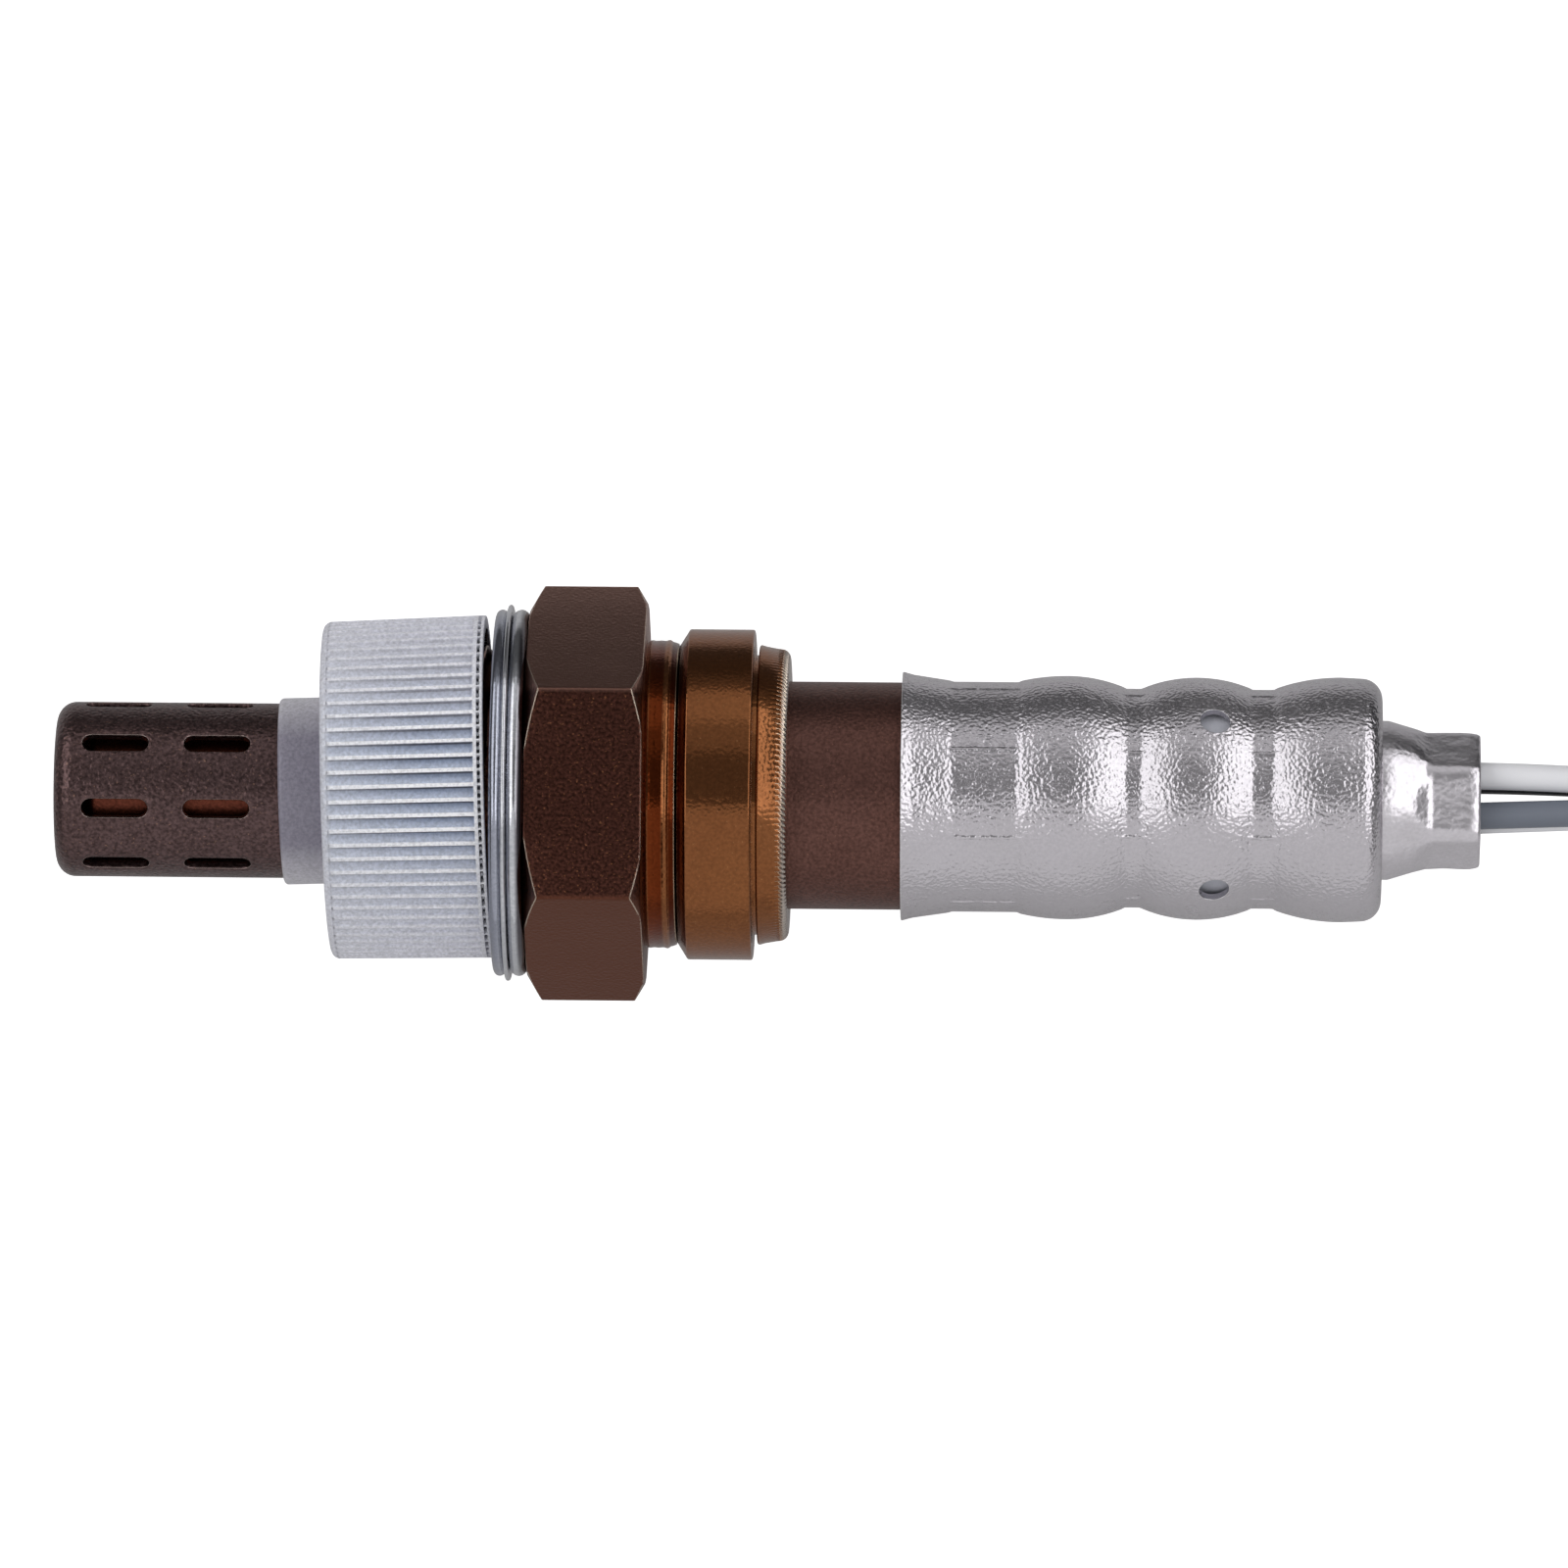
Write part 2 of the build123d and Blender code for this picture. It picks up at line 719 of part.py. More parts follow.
# ---- insulator and terminals ----
def terminal_insulator():
    flange_end = insulator_front + insulator_flange_length
    shape = turned([
        (insulator_front, 0), (insulator_front, insulator_flange_r, 0.3),
        (flange_end, insulator_flange_r, 0.3), (flange_end, insulator_r),
        (insulator_end, insulator_r, 0.4), (insulator_end, 0),
    ])
    return shape - wire_bores(insulator_front - 1, insulator_end + 1, insulator_bore_r)


def split_ring(x0, x1, inner_r, outer_r, opening, open_angle):
    """Sprung sleeve with a lengthwise opening."""
    width = 2 * outer_r * math.sin(math.radians(opening / 2))
    gap = around_x(axial_block(x0 - 1, x1 + 1, width, 0, outer_r + 1), open_angle)
    return ring(x0, x1, inner_r, outer_r) - gap


def insulator_clip():
    outer_r = rear_tube_bore_r - tube_play
    clip_front = insulator_front - clip_length
    return split_ring(clip_front, insulator_front, outer_r - clip_wall, outer_r, clip_opening, 0)


def crimp_barrel(index):
    """Tube that grips the wire, with the blade's end let into its front."""
    y, z = wire_place(index)
    inner_r = wire_d / 2 + bore_play
    tube = Pos(0, y, z) * ring(barrel_start, barrel_start + barrel_length, inner_r, barrel_r)
    floor = Pos(0, y, z) * ring(barrel_start, barrel_start + barrel_floor, 0, barrel_r)
    return tube + floor


def blade(x0, radius=terminal_radius):
    half = blade_thickness / 2
    return axial_block(x0, blade_end, blade_width, radius - half, radius + half)


def heater_terminal(index):
    half = blade_thickness / 2
    pad_x1 = heater_rear_end - heater_pad_inset
    pad_x0 = pad_x1 - heater_pad_length
    pad = axial_block(pad_x0, pad_x1, blade_width, heater_r, terminal_radius + half)
    return around_x(pad + blade(pad_x0), corner_angle(index)) + crimp_barrel(index)


def strap(points, angle):
    """Bent strip in a plane through the axis, from (x, radius) points along its middle."""
    path = Polyline(*[(x, 0, r) for x, r in points])
    section = Plane(origin=path @ 0, z_dir=path % 0) * Rectangle(blade_thickness, blade_width)
    strip = sweep(section, path=path, transition=Transition.RIGHT)
    return around_x(strip, angle)


def electrode_terminal(index, inner_r, outer_r, ring_end, strap_r):
    angle = corner_angle(index)
    ring_front = ring_end - terminal_ring_length
    body = split_ring(ring_front, ring_end, inner_r, outer_r, terminal_ring_opening, angle + 180)
    bend_x = ring_end + strap_straight
    strip = strap([
        (ring_end - strap_overlap, strap_r), (bend_x, strap_r),
        (bend_x + strap_rise, terminal_radius), (blade_end, terminal_radius),
    ], angle)
    return body + strip + crimp_barrel(index)


def outer_electrode_terminal():
    inner_r = element_rear_r + terminal_play
    strap_r = inner_r + terminal_ring_wall / 2
    ring_end = element_rear_end - outer_ring_rear_gap
    return electrode_terminal(3, inner_r, inner_r + terminal_ring_wall, ring_end, strap_r)


def inner_electrode_terminal():
    outer_r = rear_bore_r - terminal_play
    strap_r = math.sqrt(outer_r**2 - (blade_width / 2) ** 2) - blade_thickness / 2
    ring_end = heater_rear_end - inner_ring_rear_gap
    return electrode_terminal(1, outer_r - terminal_ring_wall, outer_r, ring_end, strap_r)


# ---- wires ----
def wire_route(index):
    """Straight through the grommet, then down to the woven sleeve's mouth, drawing together."""
    y, z = wire_place(index)
    close = (wire_d + wire_close_gap) / wire_pitch
    nearer = close + wire_middle_spread
    return [
        (wire_start, y, z), (wire_bend_x, y, z),
        (wire_middle_x, y * nearer, z * nearer - wire_middle_drop),
        (wire_level_x, y * close, z * close + lead_z), (lead_start_x, y * close, z * close + lead_z),
    ]


# ---- lead ----
def protective_sleeve():
    points = [(lead_start_x, 0, lead_z), (hank_x, 0, lead_z)]
    return tube_along(points, lead_d, "protective_sleeve")


def hank_section():
    """Outline of one run's stacked turns, in the XZ plane."""
    inner, outer = hank_fold_r - lead_d / 2, hank_fold_r + lead_d / 2
    bottom, top = lead_bottom, lead_bottom + hank_height
    corners = [(inner, bottom), (outer, bottom), (outer, top), (inner, top)]
    return make_face(Plane.XZ * FilletPolyline(*corners, radius=[hank_corner_round] * 4, close=True))


def sleeve_hank():
    """Flat loop of two runs joined by two folds."""
    section = hank_section()
    half = revolve(section, Axis.Z, revolution_arc=180) + extrude(section, hank_run)
    loop = Rot(Z=90) * half + Pos(hank_run, 0, 0) * Rot(Z=-90) * half
    return Pos(hank_x, hank_fold_r, 0) * loop


def tape_band():
    """Tape wound once round both runs of the hank."""
    width = 2 * hank_fold_r + lead_d
    middle = Pos(hank_x + hank_run / 2, hank_fold_r, lead_bottom + hank_height / 2) * Rot(Y=90)

    def block(grown):
        section = RectangleRounded(
            hank_height + 2 * grown, width + 2 * grown, hank_corner_round + grown
        )
        return middle * extrude(section, tape_width / 2, both=True)

    return block(tape_play + tape_thickness) - block(tape_play)


def sleeve_tail():
    """The lead leaves the hank's far run on the upper turn and rises into the connector."""
    points = [
        (tail_start_x, hank_far_y, hank_top_z), (tail_bend_x, connector_y, connector_z),
        (connector_x, connector_y, connector_z),
    ]
    return tube_along(points, lead_d, "sleeve_tail")


# ---- connector ----
def across(x):
    return Plane(origin=(x, connector_y, connector_z), x_dir=(0, 1, 0), z_dir=(-1, 0, 0))


def connector_boot():
    """Moulded rubber seal that tapers down to the lead, with grooves round it."""
    slope = (boot_rear_r - boot_front_r) / boot_length
    points = [(housing_rear, 0), (housing_rear, boot_front_r)]
    for i in range(boot_groove_count):
        start = boot_first_groove + i * boot_groove_pitch
        end = start + boot_groove_width
        r0, r1 = boot_front_r + slope * start, boot_front_r + slope * end
        points += [
            (housing_rear + start, r0), (housing_rear + start, r0 - boot_groove_depth),
            (housing_rear + end, r0 - boot_groove_depth), (housing_rear + end, r1),
        ]
    points += [(connector_x, boot_rear_r, 0.4), (connector_x, 0)]
    return Pos(0, connector_y, connector_z) * turned(points)


def housing_section(inset):
    return RectangleRounded(housing_width - 2 * inset, housing_height - 2 * inset, housing_corner_r - inset)


def latch():
    """Ramp that the mating half's bar snaps over, between two guard rails."""
    x0 = housing_front + latch_from_mouth
    x1 = x0 + latch_length
    z0 = connector_z + housing_height / 2 - 1
    z1 = z0 + 1 + latch_height
    side = make_face(Plane.XZ * Polyline((x0, z0), (x0, z0 + 1), (x1, z1), (x1, z0), close=True))
    ramp = Pos(0, connector_y, 0) * extrude(side, latch_width / 2, both=True)
    rails = []
    for side_sign in (-1, 1):
        y = side_sign * (latch_width / 2 + latch_rail_gap + latch_rail_width / 2)
        rails.append(Pos(0, connector_y + y, 0) * axial_block(x0, x1, latch_rail_width, z0, z1))
    return [ramp, *rails]


def connector_housing():
    outer = extrude(across(housing_rear) * housing_section(0), housing_length) + latch()
    mouth = housing_section(housing_wall)
    cavity = extrude(across(housing_front + cavity_depth) * mouth, cavity_depth + 1)
    rim = extrude(
        across(housing_front + rim_length + rim_groove_width)
        * (Rectangle(2 * housing_width, 2 * housing_height) - housing_section(rim_groove_depth)),
        rim_groove_width,
    )
    grips = []
    for i in range(grip_groove_count):
        x = housing_rear - grip_from_rear - i * grip_groove_pitch
        groove = Box(grip_groove_width, 2 * grip_groove_depth, grip_height)
        for side_sign in (-1, 1):
            y = connector_y + side_sign * housing_width / 2
            grips.append(Pos(x, y, connector_z) * groove)
    pins = [connector_pin(i, pin_play) for i in range(4)]
    return outer - cavity - rim - grips - pins


def pin_place(index):
    return (
        connector_y + pin_pitch / 2 * (1 if index in (0, 1) else -1),
        connector_z + pin_pitch / 2 * (1 if index in (0, 2) else -1),
    )


def connector_pin(index, play=0.0):
    """Flat blade moulded into the housing's floor, with a pointed tip."""
    y, z = pin_place(index)
    floor_x = housing_front + cavity_depth
    tip, rear = floor_x - pin_out - play, floor_x + pin_in + play
    half = pin_thickness / 2 + play
    side = make_face(Plane.XZ * Polyline(
        (tip, -half / 2), (tip, half / 2), (tip + pin_point, half), (rear, half),
        (rear, -half), (tip + pin_point, -half), close=True
    ))
    return Pos(0, y, z) * extrude(side, pin_width / 2 + play, both=True)


def connector_lock():
    """Coloured plate on the cavity's floor, with a window for each pin."""
    inner_w = housing_width - 2 * housing_wall - 2 * lock_play
    inner_h = housing_height - 2 * housing_wall - 2 * lock_play
    corner = housing_corner_r - housing_wall
    section = across(housing_front + cavity_depth) * RectangleRounded(inner_w, inner_h, corner)
    plate = extrude(section, lock_length)
    return plate - [connector_pin(i, pin_window_play) for i in range(4)]


wires = {"heater_wire_a": 0, "signal_wire": 1, "heater_wire_b": 2, "ground_wire": 3}

parts = {
    "hex_housing": hex_housing(),
    "outer_protection_tube": outer_protection_tube(),
    "inner_protection_tube": inner_protection_tube(),
    "thread_protector_cap": thread_protector_cap(),
    "sealing_gasket": sealing_gasket(),
    "sensing_element": sensing_element(),
    "rod_heater": rod_heater(),
    "packing_washer": packing_washer(),
    "talc_ring": talc_ring(),
    "ceramic_bush": ceramic_bush(),
    "crimp_ring": crimp_ring(),
    "rear_tube": rear_tube(),
    "outer_sleeve": outer_sleeve(),
    "breather_filter": breather_filter(),
    "neck_tube": neck_tube(),
    "wire_grommet": wire_grommet(),
    "terminal_insulator": terminal_insulator(),
    "insulator_clip": insulator_clip(),
    "heater_terminal_a": heater_terminal(0),
    "heater_terminal_b": heater_terminal(2),
    "outer_electrode_terminal": outer_electrode_terminal(),
    "inner_electrode_terminal": inner_electrode_terminal(),
    "protective_sleeve": protective_sleeve(),
    "sleeve_hank": sleeve_hank(),
    "sleeve_tail": sleeve_tail(),
    "tape_band": tape_band(),
    "connector_boot": connector_boot(),
    "connector_housing": connector_housing(),
    "connector_lock": connector_lock(),
}
for name, index in wires.items():
    parts[name] = tube_along(wire_route(index), wire_d, name)
for index in range(4):
    parts[f"connector_pin_{index + 1}"] = connector_pin(index)

os.makedirs("parts", exist_ok=True)
for name, shape in parts.items():
    export_step(shape, f"parts/{name}.step")
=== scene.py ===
# Heated oxygen sensor lying on its hex, seen from straight above, its thread cap on and its lead put away.
from math import atan2, cos, degrees, pi, radians, sin, sqrt, tan, tau

import bmesh
import bpy
from mathutils import Matrix, Vector, noise


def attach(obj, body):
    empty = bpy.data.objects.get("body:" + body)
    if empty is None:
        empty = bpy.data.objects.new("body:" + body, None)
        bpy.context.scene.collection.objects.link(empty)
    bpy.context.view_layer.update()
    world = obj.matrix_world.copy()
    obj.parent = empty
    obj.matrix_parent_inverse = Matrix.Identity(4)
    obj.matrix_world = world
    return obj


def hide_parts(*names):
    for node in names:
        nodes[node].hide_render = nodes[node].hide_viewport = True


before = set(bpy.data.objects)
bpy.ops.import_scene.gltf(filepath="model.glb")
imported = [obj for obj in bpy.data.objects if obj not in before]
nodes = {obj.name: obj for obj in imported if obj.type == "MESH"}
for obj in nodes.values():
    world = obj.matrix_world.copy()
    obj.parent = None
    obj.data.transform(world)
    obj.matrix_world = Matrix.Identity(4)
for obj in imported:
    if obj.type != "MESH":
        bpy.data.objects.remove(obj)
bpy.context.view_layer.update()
mm = 0.001
scene = bpy.context.scene
print("frame loaded:", len(nodes), "CAD nodes")

# a long lens high above the neck, turned back a little to the middle of the sensor
view = {
    "height": 1.0,
    "overX": 39.5 * mm,
    "middleX": 15.58 * mm,
    "middleY": 0.68 * mm,
    "widthSeen": 95.87 * mm,
    "sensor": 36.0,
    "roll": 0.5,  # degrees, the sensor's rear end a little lower in the frame
}


def addObject(name, data):
    thing = bpy.data.objects.new(name, data)
    scene.collection.objects.link(thing)
    return thing


def makeCamera(v):
    place = Vector((v["overX"], v["middleY"], v["height"]))
    aim = Vector((v["middleX"], v["middleY"], 0))
    back = (place - aim).normalized()
    roll = radians(v["roll"])
    right = Vector((-sin(roll), cos(roll), 0)).cross(back).normalized()
    up = back.cross(right)
    data = bpy.data.cameras.new("camera")
    data.sensor_width = v["sensor"]
    data.lens = v["sensor"] * (place - aim).length / v["widthSeen"]
    data.clip_start, data.clip_end = 0.05, 20
    camera = addObject("camera", data)
    camera.matrix_world = Matrix((right, up, back)).transposed().to_4x4()
    camera.location = place
    scene.camera = camera


makeCamera(view)
print("camera placed")


def toLinear(text):  # sRGB hex to linear RGBA
    parts = [int(text[i:i + 2], 16) / 255 for i in (1, 3, 5)]
    return [c / 12.92 if c < 0.04045 else ((c + 0.055) / 1.055) ** 2.4 for c in parts] + [1]


def addNode(tree, kind, sockets=(), **settings):  # a socket takes a number, a hex colour, a node or an output
    node = tree.nodes.new("ShaderNode" + kind)
    for name, value in settings.items():
        setattr(node, name, value)
    for name, value in dict(sockets).items():
        if isinstance(value, bpy.types.Node):
            value = value.outputs[0]
        if isinstance(value, bpy.types.NodeSocket):
            tree.links.new(value, node.inputs[name])
        else:
            node.inputs[name].default_value = toLinear(value) if isinstance(value, str) else value
    return node


def newMaterial(name):
    material = bpy.data.materials.new(name)
    material.use_nodes = True
    material.node_tree.nodes.clear()
    return material, material.node_tree


def perMetre(size):  # noise scale whose grains are about size mm across
    return 1 / (size * mm)


def polar(x, r, angle):  # angle in degrees, from +Z towards +Y
    turn = radians(angle)
    return Vector((x, r * sin(turn), r * cos(turn))) * mm


def between(low, high, value):  # 0 at low, 1 at high, level at both
    share = min(max((value - low) / (high - low), 0), 1)
    return share * share * (3 - 2 * share)


def evenAngles(count):
    return [360 * i / count for i in range(count)]


def rounded(points, steps=5):  # a corner with a third value becomes an arc of that radius
    line = []
    for i, point in enumerate(points):
        here = Vector(point[:2])
        if len(point) < 3:
            line.append(here)
            continue
        before = (Vector(points[i - 1][:2]) - here).normalized()
        after = (Vector(points[i + 1][:2]) - here).normalized()
        half = before.angle(after) / 2
        middle = here + (before + after).normalized() * point[2] / sin(half)
        start = before * point[2] / tan(half) + here - middle
        end = after * point[2] / tan(half) + here - middle
        line += [middle + start.lerp(end, k / steps).normalized() * point[2] for k in range(steps + 1)]
    return line


def turnedRows(line, angles, radius=None):
    return [[polar(x, radius(x, r, a) if radius else r, a) for a in angles] for x, r in line]


def meshFrom(vertices, faces):
    mesh = bpy.data.meshes.new("piece")
    work = bmesh.new()
    points = [work.verts.new(v) for v in vertices]
    for face in faces:
        work.faces.new([points[i] for i in face])
    bmesh.ops.remove_doubles(work, verts=work.verts, dist=0.002 * mm)
    bmesh.ops.recalc_face_normals(work, faces=work.faces)
    work.to_mesh(mesh)
    work.free()
    return mesh


def ringFaces(rows, start=0, closed=False):  # from each ring of points to the next, numbered from start
    count = len(rows[0])
    faces = []
    for i in range(len(rows) if closed else len(rows) - 1):
        a, b = start + i * count, start + (i + 1) % len(rows) * count
        faces += [(a + j, a + (j + 1) % count, b + (j + 1) % count, b + j) for j in range(count)]
    return faces


def wrapRows(rows, closed=True):  # rows of points, each a ring round the axis
    return meshFrom([p for row in rows for p in row], ringFaces(rows, 0, closed))


def finishMesh(piece, sharp=30):  # degrees between faces from which an edge stays sharp
    piece.data.shade_smooth()
    piece.data.set_sharp_from_angle(angle=radians(sharp))


def newPiece(name, mesh, material, replaced, body="sensor", sharp=30):
    mesh.name = name
    piece = addObject(name, mesh)
    finishMesh(piece, sharp)
    mesh.materials.append(material)
    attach(piece, body)
    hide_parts(*replaced)
    return piece


def drill(piece, holes, radius):  # each hole is a pair of its ends
    for start, end in holes:
        work, size = bmesh.new(), radius * mm
        length = (end - start).length
        bmesh.ops.create_cone(work, segments=40, radius1=size, radius2=size, depth=length, cap_ends=True)
        mesh = bpy.data.meshes.new("drill")
        work.to_mesh(mesh)
        work.free()
        cutter = addObject("drill", mesh)
        turned = (end - start).to_track_quat("Z", "Y").to_matrix().to_4x4()
        cutter.matrix_world = Matrix.Translation((start + end) / 2) @ turned
        cut = piece.modifiers.new("drill", "BOOLEAN")
        cut.object, cut.solver = cutter, "EXACT"
        bpy.context.view_layer.update()
        graph = bpy.context.evaluated_depsgraph_get()
        piece.data = bpy.data.meshes.new_from_object(piece.evaluated_get(graph))
        piece.modifiers.clear()
        bpy.data.objects.remove(cutter)
    finishMesh(piece)


# wires: four silicone insulated leads from the crimped neck down to the floor
wire = {
    "diameter": 1.65,
    "pitch": 2.5,
    "closePitch": 1.73,
    "twist": 6.5,
    "start": 46.8,
    "exit": 57.65,
    "hold": 53.5,
    "bend": 58.4,
    "middle": 69.0,
    "middleDrop": 1.3,
    "middleSpread": -0.02,
    "sideways": 0.22,
    "level": 82.0,
    "end": 96.0,
    "leadZ": -8.3,
}
wireSlots = {  # in the order of their places round the neck
    "heater_wire_a": "wire_white",
    "signal_wire": "wire_black",
    "heater_wire_b": "wire_white",
    "ground_wire": "wire_grey",
}


def wirePlace(index):
    angle = radians(45 + wire["twist"] + 90 * index)
    radius = wire["pitch"] / sqrt(2)
    return radius * sin(angle), radius * cos(angle)


def wireRoute(index):
    y, z = wirePlace(index)
    close = wire["closePitch"] / wire["pitch"]
    middle = close + wire["middleSpread"]
    return [
        (wire["start"], y, z),
        (wire["hold"], y, z),
        (wire["bend"], y + wire["sideways"], z),
        (wire["middle"], y * middle + wire["sideways"], z * middle - wire["middleDrop"]),
        (wire["level"], y * close, z * close + wire["leadZ"]),
        (wire["end"], y * close, z * close + wire["leadZ"]),
    ]


def routeCurve(name, points, diameter):
    data = bpy.data.curves.new(name, "CURVE")
    data.dimensions = "3D"
    data.resolution_u = 24
    data.bevel_resolution = 8
    data.bevel_depth = diameter / 2 * mm
    data.use_fill_caps = True
    spline = data.splines.new("NURBS")
    spline.points.add(len(points) - 1)
    for control, place in zip(spline.points, points):
        control.co = [c * mm for c in place] + [1]
    spline.order_u = 3
    spline.use_endpoint_u = True
    curve = addObject(name, data)
    return curve


def curveLine(curve):  # points along the curve's own line, in metres
    wornAndHighlitEdges = curve.copy()
    wornAndHighlitEdges.data = curve.data.copy()
    wornAndHighlitEdges.data.bevel_depth = 0
    mesh = bpy.data.meshes.new_from_object(wornAndHighlitEdges)
    line = [v.co.copy() for v in mesh.vertices]
    bpy.data.objects.remove(wornAndHighlitEdges)
    return line


def lineLength(line):
    return sum((b - a).length for a, b in zip(line, line[1:]))


# lead: a woven sleeve over the four wires, put away as a hank of one and a half turns
lead = {
    "diameter": 4.8,
    "hankX": 122.5,
    "run": 27.2,
    "fold": 14.4,
    "foldPoints": 6,
    "topZ": -3.5,
    "climbFrom": 30.0,  # degrees round the near fold, where the lead climbs onto its first turn
    "climbTo": 140.0,
    "tailX": 121.5,
    "bendX": 113.0,
    "plugX": 105.5,
    "plugY": 26.9,
    "plugZ": -2.0,
}


def leadRoute():
    low, top, fold = wire["leadZ"], lead["topZ"], lead["fold"]
    step = 180 / lead["foldPoints"]
    wide = fold / (0.75 + 0.25 * cos(radians(step)))  # the smooth line runs inside its points
    points = [(wire["end"], 0, low)]
    for half in range(3):
        farFold = half % 2 == 0
        x = lead["hankX"] + (lead["run"] if farFold else 0)
        for i in range(-1, lead["foldPoints"] + 1):
            turn = min(max((i + 0.5) * step, 0), 180)
            climb = half / 2
            if half == 1:
                climb = min(max((turn - lead["climbFrom"]) / (lead["climbTo"] - lead["climbFrom"]), 0), 1)
            angle = radians(turn + (-90 if farFold else 90))
            radius = wide if 0 < turn < 180 else fold
            y = fold + radius * sin(angle)
            points.append((x + radius * cos(angle), y, low + climb * (top - low)))
    return points + [
        (lead["tailX"], 2 * fold, top), (lead["bendX"], lead["plugY"], lead["plugZ"]),
        (lead["plugX"], lead["plugY"], lead["plugZ"]),
    ]


wireCurves = []
for i, node in enumerate(wireSlots):
    wireCurves.append(routeCurve(node + "_insulation", wireRoute(i), wire["diameter"]))
leadCurve = routeCurve("lead_route", leadRoute(), lead["diameter"])
leadLine = curveLine(leadCurve)
bpy.data.objects.remove(leadCurve)
wireLengths = [lineLength(curveLine(curve)) for curve in wireCurves]
print("cords routed:", [round(length, 4) for length in wireLengths], round(lineLength(leadLine), 4))


def objectPoint(tree, scale=(1, 1, 1)):
    place = addNode(tree, "TexCoord")
    return addNode(tree, "Mapping", {"Vector": place.outputs["Object"], "Scale": scale})


def objectAxes(tree):
    place = addNode(tree, "TexCoord")
    return addNode(tree, "SeparateXYZ", {0: place.outputs["Object"]}).outputs


def setStops(ramp, stops):  # pairs of a place from 0 to 1 and a colour
    while len(ramp.elements) < len(stops):
        ramp.elements.new(1)
    for element, (position, colour) in zip(ramp.elements, stops):
        element.position, element.color = position, toLinear(colour)


def speckled(tree, point, base, strength, size=0.2):  # fine light and dark grain in the colour itself
    grain = addNode(tree, "TexNoise", {"Vector": point, "Scale": perMetre(size), "Detail": 1.0})
    share = addNode(tree, "MapRange", {
        "Value": grain, "From Min": 0.3, "From Max": 0.7, "To Min": 1 - strength, "To Max": 1 + strength,
    })
    return addNode(tree, "MixRGB", {"Fac": 1.0, "Color1": base, "Color2": share}, blend_type="MULTIPLY")


def paintedLightBands(tree, base, stops):  # painted light and shade: base times a tint for each stretch of the axis, from pairs of mm and colour
    low, high = stops[0][0], stops[-1][0]
    along = addNode(tree, "MapRange", {
        "Value": objectAxes(tree)["X"], "From Min": low * mm, "From Max": high * mm,
    })
    tint = addNode(tree, "ValToRGB", {"Fac": along})
    setStops(tint.color_ramp, [((x - low) / (high - low), colour) for x, colour in stops])
    return addNode(tree, "MixRGB", {"Fac": 1.0, "Color1": base, "Color2": tint}, blend_type="MULTIPLY")


def tinted(tree, base, colour, axis, low, high):  # base before low mm on the axis, the colour past high
    share = addNode(tree, "MapRange", {
        "Value": objectAxes(tree)[axis], "From Min": low * mm, "From Max": high * mm,
    })
    return addNode(tree, "MixRGB", {"Fac": share, "Color1": base, "Color2": colour})


def metal(name, look):  # mottled colour, fine flecks, edges worn and painted bright as highlights, a blasted or turned grain
    material, tree = newMaterial(name)
    point = objectPoint(tree)
    mottleColour, mottleSize = look["mottle"]
    fleckColour, fleckSize, fleckFrom = look["fleck"]
    grainSize, grainDepth = look["grain"]
    wearAndHighlightFrom, wearAndHighlightTo = look.get("edgeWearAndHighlightRange", (0.985, 0.93))
    mottle = addNode(tree, "TexNoise", {"Vector": point, "Scale": perMetre(mottleSize), "Detail": 4.0})
    mottled = addNode(tree, "MixRGB", {"Fac": mottle, "Color1": look["colour"], "Color2": mottleColour})
    base = speckled(tree, point, mottled, look["speckle"])
    flecks = addNode(tree, "TexNoise", {"Vector": point, "Scale": perMetre(fleckSize), "Detail": 1.0})
    share = addNode(tree, "MapRange", {"Value": flecks, "From Min": fleckFrom, "From Max": fleckFrom + 0.12})
    base = addNode(tree, "MixRGB", {"Fac": share, "Color1": base, "Color2": fleckColour})
    if "bands" in look:
        base = paintedLightBands(tree, base, look["bands"])
    for tint in look.get("tints", ()):
        base = tinted(tree, base, *tint)
    softened = addNode(tree, "Bevel", {"Radius": look.get("edge", 0.06) * mm}, samples=6)
    flat = addNode(tree, "NewGeometry").outputs["Normal"]
    turn = addNode(tree, "VectorMath", {0: softened, 1: flat}, operation="DOT_PRODUCT")
    # painted highlight along the edges, partly real wear: where the bevelled normal turns, the colour goes to a
    # near white
    edgeWearAndHighlight = addNode(tree, "MapRange", {"Value": turn.outputs["Value"], "From Min": wearAndHighlightFrom, "From Max": wearAndHighlightTo})
    wornAndHighlitEdges = addNode(tree, "MixRGB", {"Fac": edgeWearAndHighlight, "Color1": base, "Color2": look["edgeWearAndHighlight"]})
    rough = addNode(tree, "MapRange", {
        "Value": mottle, "To Min": look["roughness"] - 0.05, "To Max": look["roughness"] + 0.05,
    })
    grain = addNode(tree, "TexNoise", {"Vector": point, "Scale": perMetre(grainSize), "Detail": 0.6})
    bump = addNode(tree, "Bump", {
        "Height": grain, "Distance": grainDepth * mm, "Strength": 1.0, "Normal": softened,
    })
    shader = addNode(tree, "BsdfPrincipled", {
        "Metallic": 1.0, "Base Color": wornAndHighlitEdges, "Roughness": rough, "Normal": bump,
    })
    addNode(tree, "OutputMaterial", {"Surface": shader})
    return material


